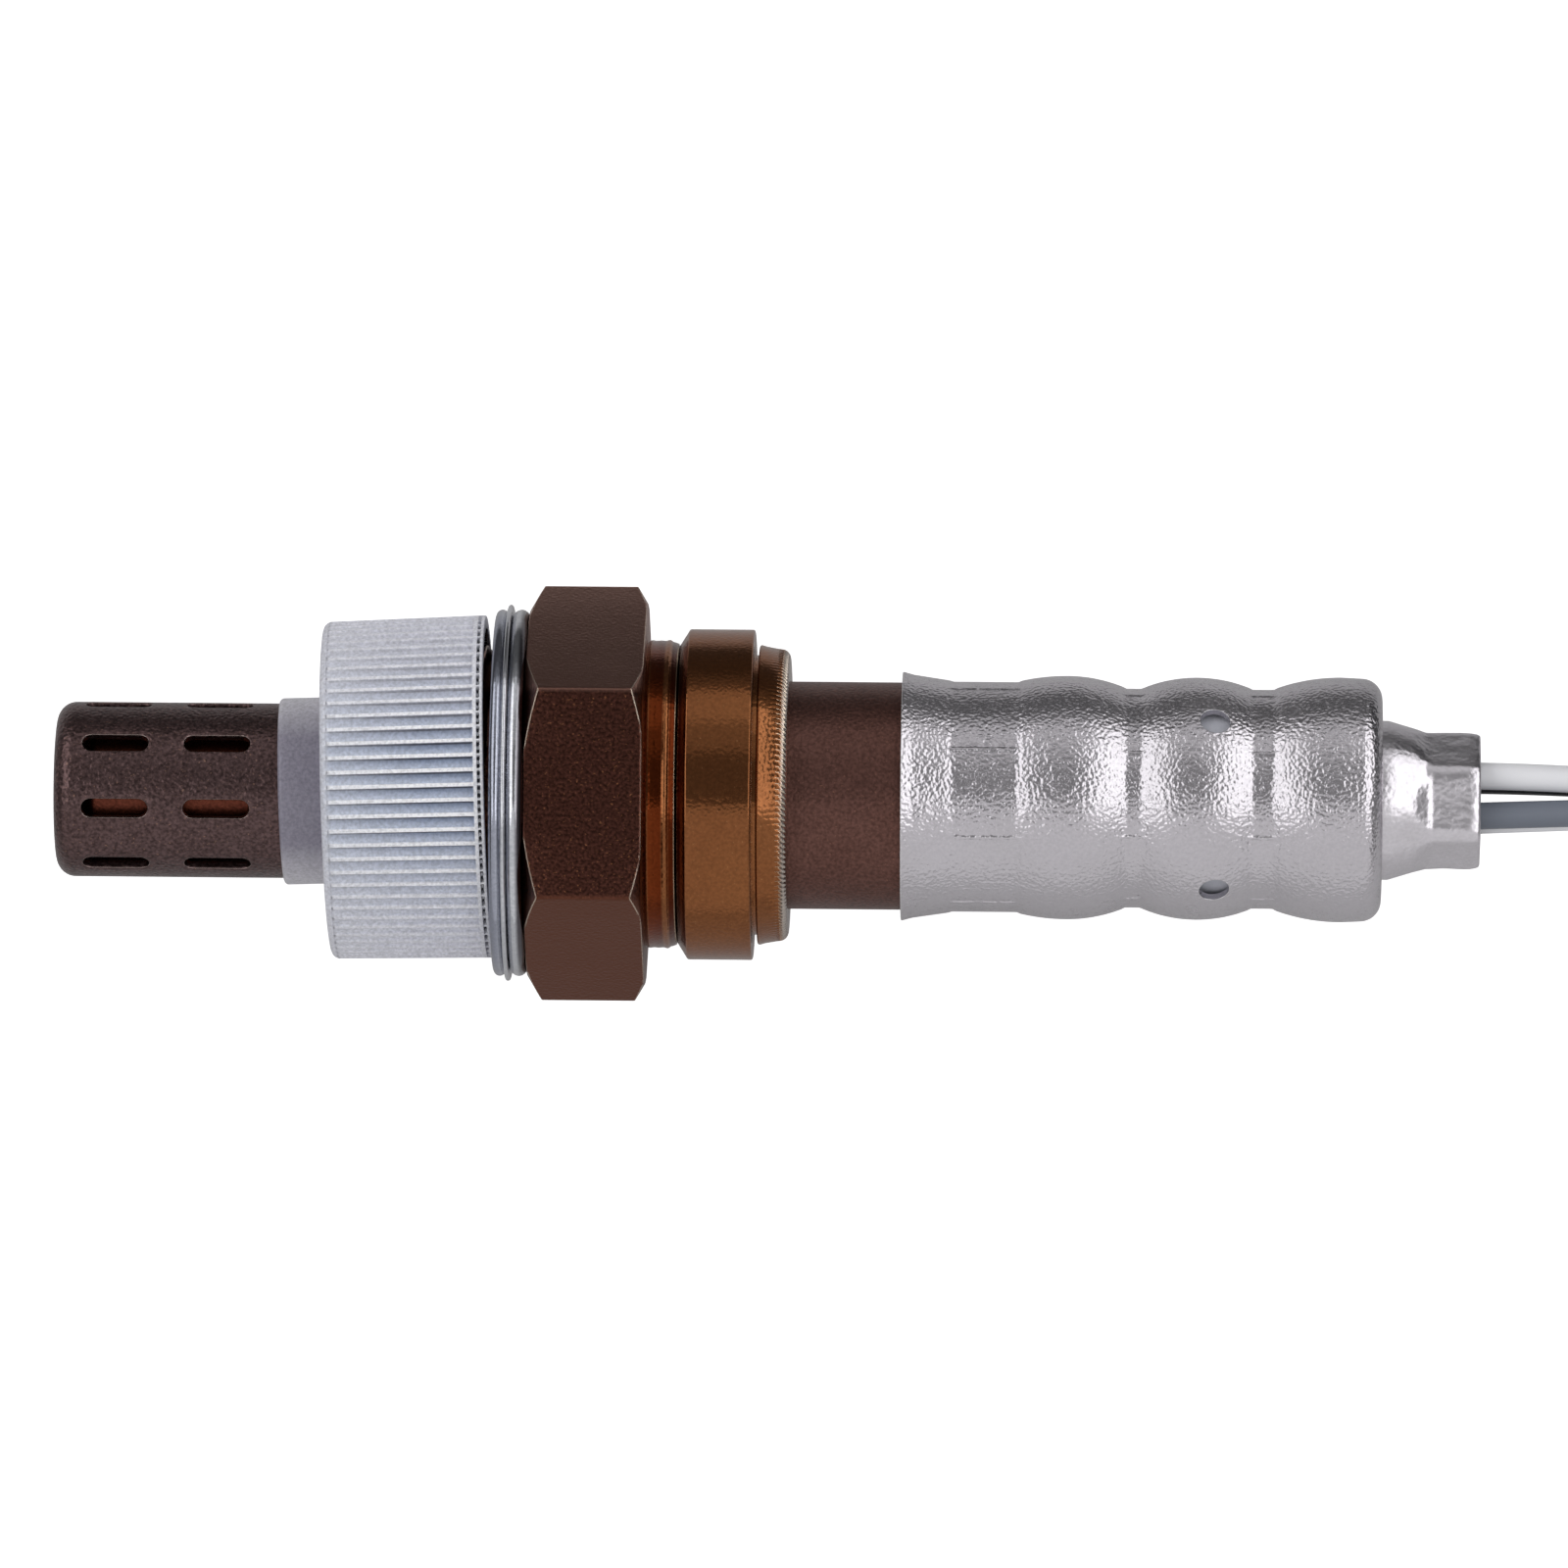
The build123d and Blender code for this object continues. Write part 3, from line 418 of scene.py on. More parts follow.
# plastic, rubber, ceramic or fibre: a body colour mottled with another, and a fine skin; sizes in mm
def moulded(name, colour, mottleColour, mottleSize, roughness, grainSize, grainDepth, stretch=(1, 1, 1)):
    material, tree = newMaterial(name)
    point = objectPoint(tree, stretch)
    mottle = addNode(tree, "TexNoise", {"Vector": point, "Scale": perMetre(mottleSize), "Detail": 4.0})
    body = addNode(tree, "MixRGB", {"Fac": mottle, "Color1": colour, "Color2": mottleColour})
    rough = addNode(tree, "MapRange", {"Value": mottle, "To Min": roughness - 0.08, "To Max": roughness + 0.08})
    skin = addNode(tree, "TexNoise", {"Vector": point, "Scale": perMetre(grainSize), "Detail": 2.0})
    bump = addNode(tree, "Bump", {"Height": skin, "Distance": grainDepth * mm, "Strength": 1.0})
    shader = addNode(tree, "BsdfPrincipled", {"Base Color": body, "Roughness": rough, "Normal": bump})
    addNode(tree, "OutputMaterial", {"Surface": shader})
    return material


# mottle: colour and size, fleck: colour, size and the noise it shows from, grain: size and depth, in mm;
# a real grain finer than a pixel is drawn as coarse as it needs to show
hexSteel = metal("turned_steel_heat_browned", {  # dark red brown, bright grains, edges rubbed to bare steel and painted bright, slanted facets painted lighter
    "colour": "#5a372e", "mottle": ("#4d2f28", 2.5), "speckle": 0.5, "fleck": ("#a06a4c", 0.14, 0.66),
    "edgeWearAndHighlight": "#fff0dc", "roughness": 0.3, "grain": (0.2, 0.02), "edge": 0.12, "edgeWearAndHighlightRange": (0.975, 0.92),
    # painted light: both slanted facets lighter than the top one, the upper one greyer, as light falls on them
    "tints": [("#6b4131", "Y", -6.1, -6.5), ("#9a7468", "Y", 6.1, 6.5)],
})
copperTint = {  # thin oxide on a turned face: a glossy orange brown
    "colour": "#915d39", "mottle": ("#855233", 3.0), "speckle": 0.14, "fleck": ("#b9855a", 0.14, 0.7),
    "edgeWearAndHighlight": "#f6e2c8", "roughness": 0.16, "grain": (0.2, 0.014),
}
# painted light: full colour as highlights on the first two ridges, painted shade between them and in the groove
# before the collar
collarSteel = metal("turned_steel_copper_tint", {**copperTint, "bands": [
    (7.2, "#ffffff"), (7.45, "#ffffff"), (7.55, "#cf9d84"), (8.3, "#bd8a73"), (8.42, "#ffffff"),
    (8.72, "#ffffff"), (8.8, "#9a6f5c"), (9.2, "#9a6f5c"), (9.6, "#ffffff"),
]})
lipSteel = metal("rolled_edge_rubbed_bright", {**copperTint, "tints": [("#c8bdb5", "X", 15.5, 15.7)]})
tipSteel = metal("drawn_tube_oxidised", {  # scaled by heat: dull and violet brown
    "colour": "#635050", "mottle": ("#534140", 1.2), "speckle": 0.42, "fleck": ("#8a6c60", 0.16, 0.66),
    "edgeWearAndHighlight": "#c7b7b0", "roughness": 0.34, "grain": (0.22, 0.055),
})
innerTubeSteel = metal("drawn_tube_brown_inside", {  # kept from dust: a clear red brown
    "colour": "#7a4230", "mottle": ("#552c25", 1.6), "speckle": 0.3, "fleck": ("#9a6246", 0.12, 0.7),
    "edgeWearAndHighlight": "#a97f68", "roughness": 0.36, "grain": (0.2, 0.012),
})
rearTubeSteel = metal("drawn_tube_heat_brown", {  # less heated: grey brown and half matt
    "colour": "#6c4d46", "mottle": ("#62443d", 2.0), "speckle": 0.26, "fleck": ("#8d6556", 0.14, 0.68),
    "edgeWearAndHighlight": "#a08070", "roughness": 0.4, "grain": (0.2, 0.03),
})
sleeveSteel = metal("blasted_stainless", {  # bead blasting gives an even silver sparkle of small dents
    "colour": "#d4d0d6", "mottle": ("#cac6cb", 3.5), "speckle": 0.04, "fleck": ("#dddade", 0.15, 0.8),
    "edgeWearAndHighlight": "#f6f5f6", "roughness": 0.26, "grain": (0.215, 0.062),
})
neckSteel = metal("crimped_stainless", {  # the same steel, pressed smoother and whiter by the jaws
    "colour": "#e4e0e6", "mottle": ("#d4d0d5", 1.6), "speckle": 0.05, "fleck": ("#dddade", 0.15, 0.8),
    "edgeWearAndHighlight": "#f6f5f6", "roughness": 0.3, "grain": (0.3, 0.03),
})
gasketSteel = metal("rolled_sheet_steel", {  # smooth and bright; painted shade at its front edge and, next to the hex, painted shade and a painted dark reflection of the hex
    "colour": "#dcdde2", "mottle": ("#c2c4cb", 1.8), "speckle": 0.08, "fleck": ("#e2e2e6", 0.2, 0.8),
    "edgeWearAndHighlight": "#ffffff", "roughness": 0.16, "grain": (0.3, 0.006),
    # painted light: a little darker at the front edge, full colour over the fin, dark towards the hex
    "bands": [
        (-2.04, "#a9abb6"), (-1.6, "#d4d6e0"), (-1.3, "#ffffff"), (-0.5, "#ffffff"), (-0.3, "#7d777a"),
        (0, "#453e41"),
    ],
})
print("first materials made")

# the turned housing in three rings: shank with hex, buckled neck with collar, rolled rear lip
hexBody = {
    "flat": 11.0,
    "cornerRound": 0.25,
    "length": 7.2,
    "frontFace": 11.15,
    "frontChamfer": 0.9,
    "rearFace": 11.6,
    "rearChamfer": 0.65,
    "edge": 0.1,
    "shankFront": -11.2,
    "threadEnd": -2.6,
    "crest": 9.0,
    "root": 8.1,
    "pitch": 1.5,
    "endChamfer": 0.7,
    "relief": 8.3,
    "flankEnd": 0.44,  # shares of the pitch
    "flank": 0.31,
    "frontBore": 5.4,
    "rearBore": 6.0,
    "inside": [(-2.2, 6.0), (-2.2, 4.25), (-3.1, 4.25), (-9.72, 4.75), (-9.72, 7.06), (-10.7, 7.06)],
}


def hexRadius(angle):
    h = hexBody
    turn = radians((angle + 30) % 60 - 30)
    radius = h["flat"] / cos(turn)
    middle = (h["flat"] - h["cornerRound"]) / cos(radians(30))
    off = radians(30) - abs(turn)
    if off < atan2(h["cornerRound"] / 2, middle + h["cornerRound"] * 0.866):
        radius = middle * cos(off) + sqrt(h["cornerRound"] ** 2 - (middle * sin(off)) ** 2)
    return radius


def hexRows(angles):
    h = hexBody
    widest = h["flat"] / cos(radians(30))
    ends = []
    for face, chamfer in ((h["frontFace"], h["frontChamfer"]), (h["rearFace"], h["rearChamfer"])):
        rows = [[] for i in range(5)]
        for angle in angles:
            r = hexRadius(angle)
            meet = max(r - face, 0) / (widest - face) * chamfer  # where chamfer cone and flat meet
            e, rim = h["edge"], min(r, face)
            steep = (widest - face) / chamfer
            rows[0].append((0, rim - e))
            rows[1].append((e * 0.3, rim - e * 0.2 if meet < e else rim + e * 0.3 * steep))
            rows[2].append((max(meet - e * 0.5, e * 0.6), r - e * 0.1 if meet < e else r - e * 0.5 * steep))
            rows[3].append((max(meet, e * 0.8), r - e * 0.1 if meet > e else r))
            rows[4].append((max(meet, e * 0.8) + e * 0.7, r))
        ends.append(rows)
    front = [[polar(x, r, a) for (x, r), a in zip(row, angles)] for row in ends[0]]
    rear = [[polar(h["length"] - x, r, a) for (x, r), a in zip(row, angles)] for row in reversed(ends[1])]
    return front + rear


def threadRadius(x, r, angle):
    h = hexBody
    if x > h["threadEnd"] + h["crest"] - h["relief"] or x <= h["shankFront"]:
        return r
    phase = (x / h["pitch"] - angle / 360) % 1
    flank = min(max((h["flankEnd"] - abs(phase - 0.5)) / h["flank"], 0), 1)
    return min(h["crest"] + flank * (h["root"] - h["crest"]), r)


def makeHexPiece(h):
    corners = [30 + 60 * i + side for i in range(6) for side in (-1.1, -0.56, -0.28, 0, 0.28, 0.56, 1.1)]
    angles = sorted(set(evenAngles(192)) | set(corners))
    thread = [(h["shankFront"], h["frontBore"]), (h["shankFront"], h["crest"] - h["endChamfer"])]
    step = 0.1
    for i in range(1, round((h["threadEnd"] + h["crest"] - h["relief"] - h["shankFront"]) / step) + 1):
        x = h["shankFront"] + step * i
        start = h["crest"] - h["endChamfer"] + step * i
        finish = max(h["crest"] - (x - h["threadEnd"]), h["relief"])
        thread.append((x, min(h["crest"], start, finish)))
    thread += [(-0.15, h["relief"]), (0, h["relief"] + 0.15)]
    inside = [(h["length"], h["rearBore"])] + h["inside"] + [(h["inside"][-1][0], h["frontBore"])]
    rows = turnedRows(thread, angles, threadRadius) + hexRows(angles) + turnedRows(inside, angles)
    newPiece("hex_shank", wrapRows(rows), hexSteel, ["hex_housing"])


collar = {
    "start": 7.2,
    "ridged": 1.9,
    "foot": 9.28,
    "ridge": 0.16,
    "heights": (0, 0.8, 0.6, 0.72, 0.6, 0.95, 0.1, -0.4),  # of the buckled ridges, as shares of ridge
    "rear": [(9.1, 8.98), (9.8, 10.1, 0.15), (13.76, 10.1, 0.12), (13.76, 8.55), (14.06, 8.55)],
    "inside": [(14.06, 7.8), (11.65, 7.8), (11.65, 6.0), (7.2, 6.0)],
}


def ridgeRadius(x):  # three buckled ridges, eased from height to height
    c = collar
    spans = len(c["heights"]) - 1
    step = min(max((x - c["start"]) / c["ridged"] * spans, 0), spans - 0.001)
    low, high = c["heights"][int(step)], c["heights"][int(step) + 1]
    return c["foot"] + c["ridge"] * (low + (high - low) * between(0, 1, step - int(step)))


def makeCollarPiece(c):
    xs = [c["start"] + c["ridged"] * i / 42 for i in range(43)]
    rows = turnedRows([(x, ridgeRadius(x)) for x in xs] + rounded(c["rear"] + c["inside"]), evenAngles(180))
    newPiece("turned_collar", wrapRows(rows), collarSteel, ["hex_housing"])


lip = {
    "outline": [(14.06, 7.8), (14.06, 9.2, 0.12), (14.56, 9.06), (15.25, 8.94), (15.94, 8.85, 0.55)],
    "inside": [(15.94, 7.0), (14.64, 7.0), (14.64, 7.8)],
    "ticks": 160,
    "tickDepth": 0.13,
    "tickLean": 0.9,  # of a tick's pitch round the lip, in tickRun along it
    "tickRun": 0.44,
    "ticksFrom": 15.45,
    "ticksOver": 8.2,
}


def lipRadius(x, r, angle):
    pitch = 360 / lip["ticks"]
    wave = abs((angle / pitch + (x - lip["ticksFrom"]) / lip["tickRun"] * lip["tickLean"]) % 1 - 0.5) * 2
    outside = between(lip["ticksOver"], lip["ticksOver"] + 0.2, r)
    mask = between(lip["ticksFrom"] - 0.1, lip["ticksFrom"] + 0.1, x) * outside
    return r - lip["tickDepth"] * mask * between(0.55, 0.95, wave)


def makeLipPiece(d):
    rows = turnedRows(rounded(d["outline"] + d["inside"], 9), evenAngles(d["ticks"] * 6), lipRadius)
    newPiece("rolled_lip", wrapRows(rows), lipSteel, ["hex_housing"])


makeHexPiece(hexBody)
makeCollarPiece(collar)
makeLipPiece(lip)
print("housing made")

# outer protection tube: drawn, domed, with two rows of eight slots whose rims are rolled in a little
gasTube = {
    "tip": -29.1,
    "radius": 5.34,
    "wall": 0.5,
    "endRound": 1.15,
    "dome": 0.3,
    "flangeSeat": -10.66,
    "flange": 7.0,
    "slotLength": 4.03,
    "slotWidth": 1.14,
    "slots": 8,
    "firstAngle": 77.5,
    "rowCentres": (-25.085, -18.885),
    "cellEnds": ((-27.7, -22.0), (-22.0, -16.2)),
    "rim": 0.1,
    "across": 12,  # steps of the mesh round and along a slot's cell
    "along": 16,
}


def slotCell(t, centre, ends, angle):  # rings of points round one slot, out to its stretch of wall's edges
    half, spineEnd = radians(180 / t["slots"]) * t["radius"], (t["slotLength"] - t["slotWidth"]) / 2
    across, along = t["across"], t["along"]
    border = [(ends[0], half * (2 * i / across - 1)) for i in range(across)]
    border += [(ends[0] + (ends[1] - ends[0]) * i / along, half) for i in range(along)]
    border += [(ends[1], half * (1 - 2 * i / across)) for i in range(across)]
    border += [(ends[1] + (ends[0] - ends[1]) * i / along, -half) for i in range(along)]
    bore = t["radius"] - t["wall"]
    layers = [(0, t["rim"] * 1.6), (0, t["rim"]), (t["rim"] * 0.3, t["rim"] * 0.3), (t["rim"], 0)]
    shares = (1, 0.75, 0.5, 0.3, 0.15)  # of the way from the rim to the border
    rings = [(share, t["rim"], t["radius"]) for share in shares]
    rings += [(0, gap, t["radius"] - drop) for gap, drop in reversed(layers)]
    rings += [(0, gap, bore + drop) for gap, drop in layers]
    rings += [(share, t["rim"], bore) for share in reversed(shares)]
    rows = []
    for share, gap, radius in rings:
        row = []
        for x, arc in border:
            spine = min(max(x, centre - spineEnd), centre + spineEnd)
            away = Vector((x - spine, arc)).normalized() * (t["slotWidth"] / 2 + gap)
            slotX, slotArc = spine + away.x, away.y
            flatX, flatArc = slotX + (x - slotX) * share, slotArc + (arc - slotArc) * share
            row.append(polar(flatX, radius, angle + degrees(flatArc / t["radius"])))
        rows.append(row)
    return rows


def makeGasTube(t):
    cellStart, cellEnd = t["cellEnds"][0][0], t["cellEnds"][1][1]
    bore, back = t["radius"] - t["wall"], t["flangeSeat"] + t["wall"]
    tipLine = rounded([
        (t["tip"], 0.001), (t["tip"] + t["dome"], t["radius"], t["endRound"]), (cellStart, t["radius"]),
    ], 9)
    innerTip = rounded([
        (cellStart, bore), (t["tip"] + t["dome"] + t["wall"], bore, t["endRound"] - t["wall"]),
        (t["tip"] + t["wall"], 0.001),
    ])
    rear = rounded([
        (cellEnd, t["radius"]), (t["flangeSeat"], t["radius"]), (t["flangeSeat"], t["flange"]),
        (back, t["flange"]), (back, bore), (cellEnd, bore),
    ])
    parts = []
    for centre, ends in zip(t["rowCentres"], t["cellEnds"]):
        parts += [slotCell(t, centre, ends, t["firstAngle"] + 360 / t["slots"] * i) for i in range(t["slots"])]
    angles = [t["firstAngle"] + 180 / t["slots"] + angle for angle in evenAngles(t["slots"] * t["across"])]
    parts += [turnedRows(line, angles) for line in (tipLine, innerTip, rear)]
    points, faces = [], []
    for rows in parts:
        faces += ringFaces(rows, len(points))
        points += [p for row in rows for p in row]
    newPiece("gas_tube", meshFrom(points, faces), tipSteel, ["outer_protection_tube"])


makeGasTube(gasTube)
print("gas tube made")

# thread cap: thin bright ribs between flat grooves, a toothed edge, pushed on a little aslant
cap = {
    "front": -12.3,
    "frontRadius": 10.3,
    "rearRadius": 10.48,
    "rear": -2.36,
    "noseFront": -15.1,
    "nose": 5.7,
    "noseBore": 5.44,
    "bore": 9.7,
    "wall": 1.0,
    "ribs": 72,
    "ribShare": 0.25,
    "ribTurn": 0.8,  # degrees from the top to the middle of a rib
    "grooveDepth": 0.2,
    "grooveFrom": -11.9,
    "grooveTo": -3.0,
    "toothFrom": -2.76,
    "toothTo": -2.56,
    "toothDepth": 0.35,
    "pivot": -13.7,
    "lean": 1.9,
    "skinColour": "#d4d6e0",
    "paintedSideLight": "#dadae3",
    "rearColour": "#f4f5fa",
    "notchShadeColour": "#3b3e48",
    "noseColour": "#8d8997",
    "paintedNoseSideLight": "#dad8de",
    "speckle": 0.2,
}


def ribPhase(angle):  # 0 in the middle of a rib, 0.5 in the middle of a groove
    return abs(((angle - cap["ribTurn"]) / 360 * cap["ribs"] + 0.5) % 1 - 0.5)


def ribbedRadius(x, r, angle):
    c = cap
    if r < c["bore"] + 0.3:
        return r
    fade = between(c["grooveFrom"] - 0.1, c["grooveFrom"] + 5, x) * 0.6 + 0.4
    run = between(c["grooveFrom"] - 0.05, c["grooveFrom"] + 0.25, x)
    run *= between(-c["grooveTo"], -c["grooveTo"] + 0.12, -x)
    deep = between(c["ribShare"] / 2 - 0.01, c["ribShare"] / 2 + 0.06, ribPhase(angle)) * fade * run
    tooth = between(c["toothFrom"], c["toothFrom"] + 0.05, x)
    tooth *= between(-c["toothTo"], -c["toothTo"] + 0.05, -x)
    notch = between(0.12, 0.2, abs((ribPhase(angle) * 2 + 0.5) % 1 - 0.5))
    return r - c["grooveDepth"] * deep - c["toothDepth"] * tooth * notch


def capFinish(c):  # ribs painted white as highlights where they are also rubbed, a painted shadow line under each rib, groove floors painted blue grey as shade and where the thread shows through the thin wall
    material, tree = newMaterial("milky_polyethylene")
    axes = objectAxes(tree)
    turn = addNode(tree, "Math", {0: axes["Y"], 1: axes["Z"]}, operation="ARCTAN2")
    ribTurns = addNode(tree, "Math", {  # 1000 whole ribs more, so that it stays above 0
        0: turn, 1: c["ribs"] / tau, 2: 1000 - c["ribTurn"] / 360 * c["ribs"],
    }, operation="MULTIPLY_ADD")
    phase = addNode(tree, "Math", {0: ribTurns}, operation="FRACT")
    # painted light: a white highlight on each rib, a dark painted shadow line under it, groove floors graded
    # blue grey
    edge = c["ribShare"] / 2
    paintedRibShading = addNode(tree, "ValToRGB", {"Fac": phase})
    setStops(paintedRibShading.color_ramp, [
        (0, "#fbfbff"), (edge, "#fbfbff"), (edge + 0.04, "#c3cbdc"), (0.55, "#929db5"),
        (1 - edge - 0.14, "#7b869e"), (1 - edge - 0.08, "#464b58"), (1 - edge - 0.02, "#4f5461"),
        (1 - edge + 0.01, "#fbfbff"),
    ])
    pale = addNode(tree, "MixRGB", {"Fac": 0.45, "Color1": paintedRibShading, "Color2": c["skinColour"]})
    ribbed = tinted(tree, pale, paintedRibShading, "X", c["grooveFrom"] - 0.1, c["grooveFrom"] + 6)
    ribbed = tinted(tree, c["skinColour"], ribbed, "X", c["grooveFrom"] - 0.2, c["grooveFrom"] + 0.2)
    ribbed = tinted(tree, ribbed, c["rearColour"], "X", c["grooveTo"], c["grooveTo"] + 0.06)
    nose = c["noseColour"]
    for side in (1, -1):  # painted light: ribs and nose fade into paler milky plastic towards the sides, darker in the middle
        ribbed = tinted(tree, ribbed, c["paintedSideLight"], "Y", side * 2.4, side * 10.2)
        nose = tinted(tree, nose, c["paintedNoseSideLight"], "Y", side * 3.2, side * 6.2)
    # painted shade: the notches between the rear teeth are coloured dark
    teeth = addNode(tree, "Math", {0: ribTurns, 1: 2.0, 2: 0.25}, operation="MULTIPLY_ADD")
    tooth = addNode(tree, "Math", {0: teeth}, operation="FRACT")
    gap = addNode(tree, "Math", {0: tooth, 1: 0.5}, operation="GREATER_THAN")
    notched = addNode(tree, "MixRGB", {"Fac": gap, "Color1": ribbed, "Color2": c["notchShadeColour"]})
    notched = tinted(tree, ribbed, notched, "X", c["toothFrom"], c["toothFrom"] + 0.03)
    ribbed = tinted(tree, notched, ribbed, "X", c["toothTo"], c["toothTo"] + 0.03)
    body = tinted(tree, nose, ribbed, "X", c["front"] - 0.1, c["front"] + 0.05)
    mottle = addNode(tree, "TexNoise", {
        "Vector": objectPoint(tree), "Scale": perMetre(c["speckle"]), "Detail": 1.0,
    })
    speckle = addNode(tree, "MapRange", {
        "Value": mottle, "From Min": 0.3, "From Max": 0.7, "To Min": 0.82, "To Max": 1.14,
    })
    colour = addNode(tree, "MixRGB", {
        "Fac": 1.0, "Color1": body, "Color2": speckle,
    }, blend_type="MULTIPLY")
    bump = addNode(tree, "Bump", {"Height": mottle, "Distance": 0.02 * mm, "Strength": 1.0})
    shader = addNode(tree, "BsdfPrincipled", {
        "Roughness": 0.38, "Subsurface Weight": 0.12, "Subsurface Radius": (1.0, 1.1, 1.3),
        "Subsurface Scale": 0.3 * mm, "Base Color": colour, "Normal": bump,
    })
    addNode(tree, "OutputMaterial", {"Surface": shader})
    return material


def makeCap(c):
    body = rounded([
        (c["noseFront"], c["noseBore"]), (c["noseFront"], c["nose"], 0.25), (c["front"], c["nose"]),
        (c["front"], c["frontRadius"], 0.5), (c["rear"], c["rearRadius"], 0.08), (c["rear"], c["bore"]),
        (c["front"] + c["wall"], c["bore"]), (c["front"] + c["wall"], c["noseBore"]),
    ])
    stops = [c["grooveFrom"] + d for d in (0, 0.12, 0.25, 0.8, 1.4, 2.0, 2.6)] + [-7.0, -5.0]
    stops += [c["grooveTo"] - 0.12, c["grooveTo"] - 0.05, c["grooveTo"]]
    stops += [c["toothFrom"], c["toothFrom"] + 0.05, c["toothTo"] - 0.05, c["toothTo"]]
    line = []
    for start, end in zip(body, body[1:]):
        line.append(start)
        if start.y > 10 and end.y > 10 and end.x - start.x > 2:
            line += [start.lerp(end, (x - start.x) / (end.x - start.x)) for x in stops]
    half = c["ribShare"] / 2
    steps = (-half + 0.01, -half * 0.4, half * 0.4, half - 0.01, half + 0.06, 0.35, 0.65, 1 - half - 0.06)
    angles = [c["ribTurn"] + 360 / c["ribs"] * (i + step) for i in range(c["ribs"]) for step in steps]
    rows = turnedRows(line + [body[-1]], angles, ribbedRadius)
    piece = newPiece("ribbed_cap", wrapRows(rows), capFinish(c), ["thread_protector_cap"],
                     "cap")
    pivot = Matrix.Translation((c["pivot"] * mm, 0, 0))
    piece.matrix_world = pivot @ Matrix.Rotation(radians(c["lean"]), 4, "Z") @ pivot.inverted()


makeCap(cap)
print("cap made")

# crush gasket: two rolled lobes and the sheet's edge between them, loose on the shank and lifted by the floor
gasket = {
    "front": -2.04,
    "bore": 8.9,
    "lobe": 11.2,
    "fin": 11.5,
    "finFrom": -1.32,
    "finTo": -1.02,
    "finRound": 0.14,
    "crease": 0.62,
    "slit": 0.1,
    "wall": 0.5,
    "lift": 0.5,
}


def makeGasket(g):
    frontMid, rearMid = (g["front"] + g["finFrom"]) / 2, g["finTo"] / 2
    frontRound, rearRound = (g["finFrom"] - g["front"]) / 2 - 0.001, -g["finTo"] / 2 - 0.001
    crease = g["lobe"] - g["crease"]
    line = rounded([
        (g["front"], g["bore"]), (g["front"], g["lobe"], frontRound), (g["finFrom"], g["lobe"], frontRound),
        (g["finFrom"], crease), (g["finFrom"] + 0.01, g["fin"], g["finRound"]),
        (g["finTo"] - 0.01, g["fin"], g["finRound"]), (g["finTo"] - 0.01, crease), (g["finTo"], crease),
        (g["finTo"], g["lobe"], rearRound), (0, g["lobe"], rearRound), (0, g["bore"]),
    ], 6)
    for middle in (rearMid, frontMid):
        line += [
            (middle + g["slit"], g["bore"]), (middle + g["slit"], g["lobe"] - g["wall"]),
            (middle - g["slit"], g["lobe"] - g["wall"]), (middle - g["slit"], g["bore"]),
        ]
    rows = turnedRows(line, evenAngles(144))
    for row in rows:
        for point in row:
            point.z += g["lift"] * mm
    newPiece("crush_gasket", wrapRows(rows), gasketSteel, ["sealing_gasket"])


makeGasket(gasket)
print("gasket made")

# formed outer sleeve: bulges between bands that eight hollow jaws pressed
sleeve = {
    "front": 22.8,
    "mouth": 7.62,
    "flareEnd": 23.5,
    "flare": 7.43,
    "bands": ((25.8, 29.9, 7.03), (36.4, 37.5, 6.69), (44.1, 45.5, 6.69)),
    "crests": ((32.9, 7.44), (40.8, 7.4), (49.6, 7.48)),
    "seam": 0.055,
    "seamWidth": 0.12,
    "seamWander": 0.06,
    "jaws": 8,
    "jawTurn": 1.9,  # degrees the jaws stand round from the top
    "endRound": 1.2,
    "endDrop": 0.06,
    "end": 52.1,
    "endHole": 5.1,
    "wall": 0.4,
    "vent": 1.85,
    "ventAt": 41.9,
    "ventAngle": 40.5,
    "endInside": 6.2,
    "rearCorner": (0.7, 6.7),  # inside, from the rear end and from the axis
    "step": 0.22,
}


def flankRadius(x, foot, crest):  # arc from a bulge's foot, level at its crest
    run, rise = crest[0] - foot[0], crest[1] - foot[1]
    radius = (run ** 2 + rise ** 2) / (2 * rise)
    return crest[1] - radius + sqrt(radius ** 2 - (x - crest[0]) ** 2)


def sleeveRadius(x):
    s = sleeve
    if x < s["flareEnd"]:
        return s["mouth"] + (s["flare"] - s["mouth"]) * (x - s["front"]) / (s["flareEnd"] - s["front"])
    if x < s["bands"][0][0]:
        share = (x - s["flareEnd"]) / (s["bands"][0][0] - s["flareEnd"])
        return s["flare"] + (s["bands"][0][2] + s["seam"] - s["flare"]) * share
    for (start, end, radius), crest, after in zip(s["bands"], s["crests"], s["bands"][1:] + (None,)):
        if x <= end:
            return radius + s["seam"]
        if x <= crest[0]:
            return flankRadius(x, (end, radius + s["seam"]), crest)
        if after and x < after[0]:
            return flankRadius(x, (after[0], after[2] + s["seam"]), crest)
    crest, bend = s["crests"][2], s["end"] - s["endRound"]
    level = crest[1] - s["endDrop"] * (x - crest[0]) / (bend - crest[0])
    if x <= bend:
        return level
    turn = (x - bend) / s["endRound"]
    return level - s["endRound"] * (1 - sqrt(max(1 - turn ** 2, 0)))


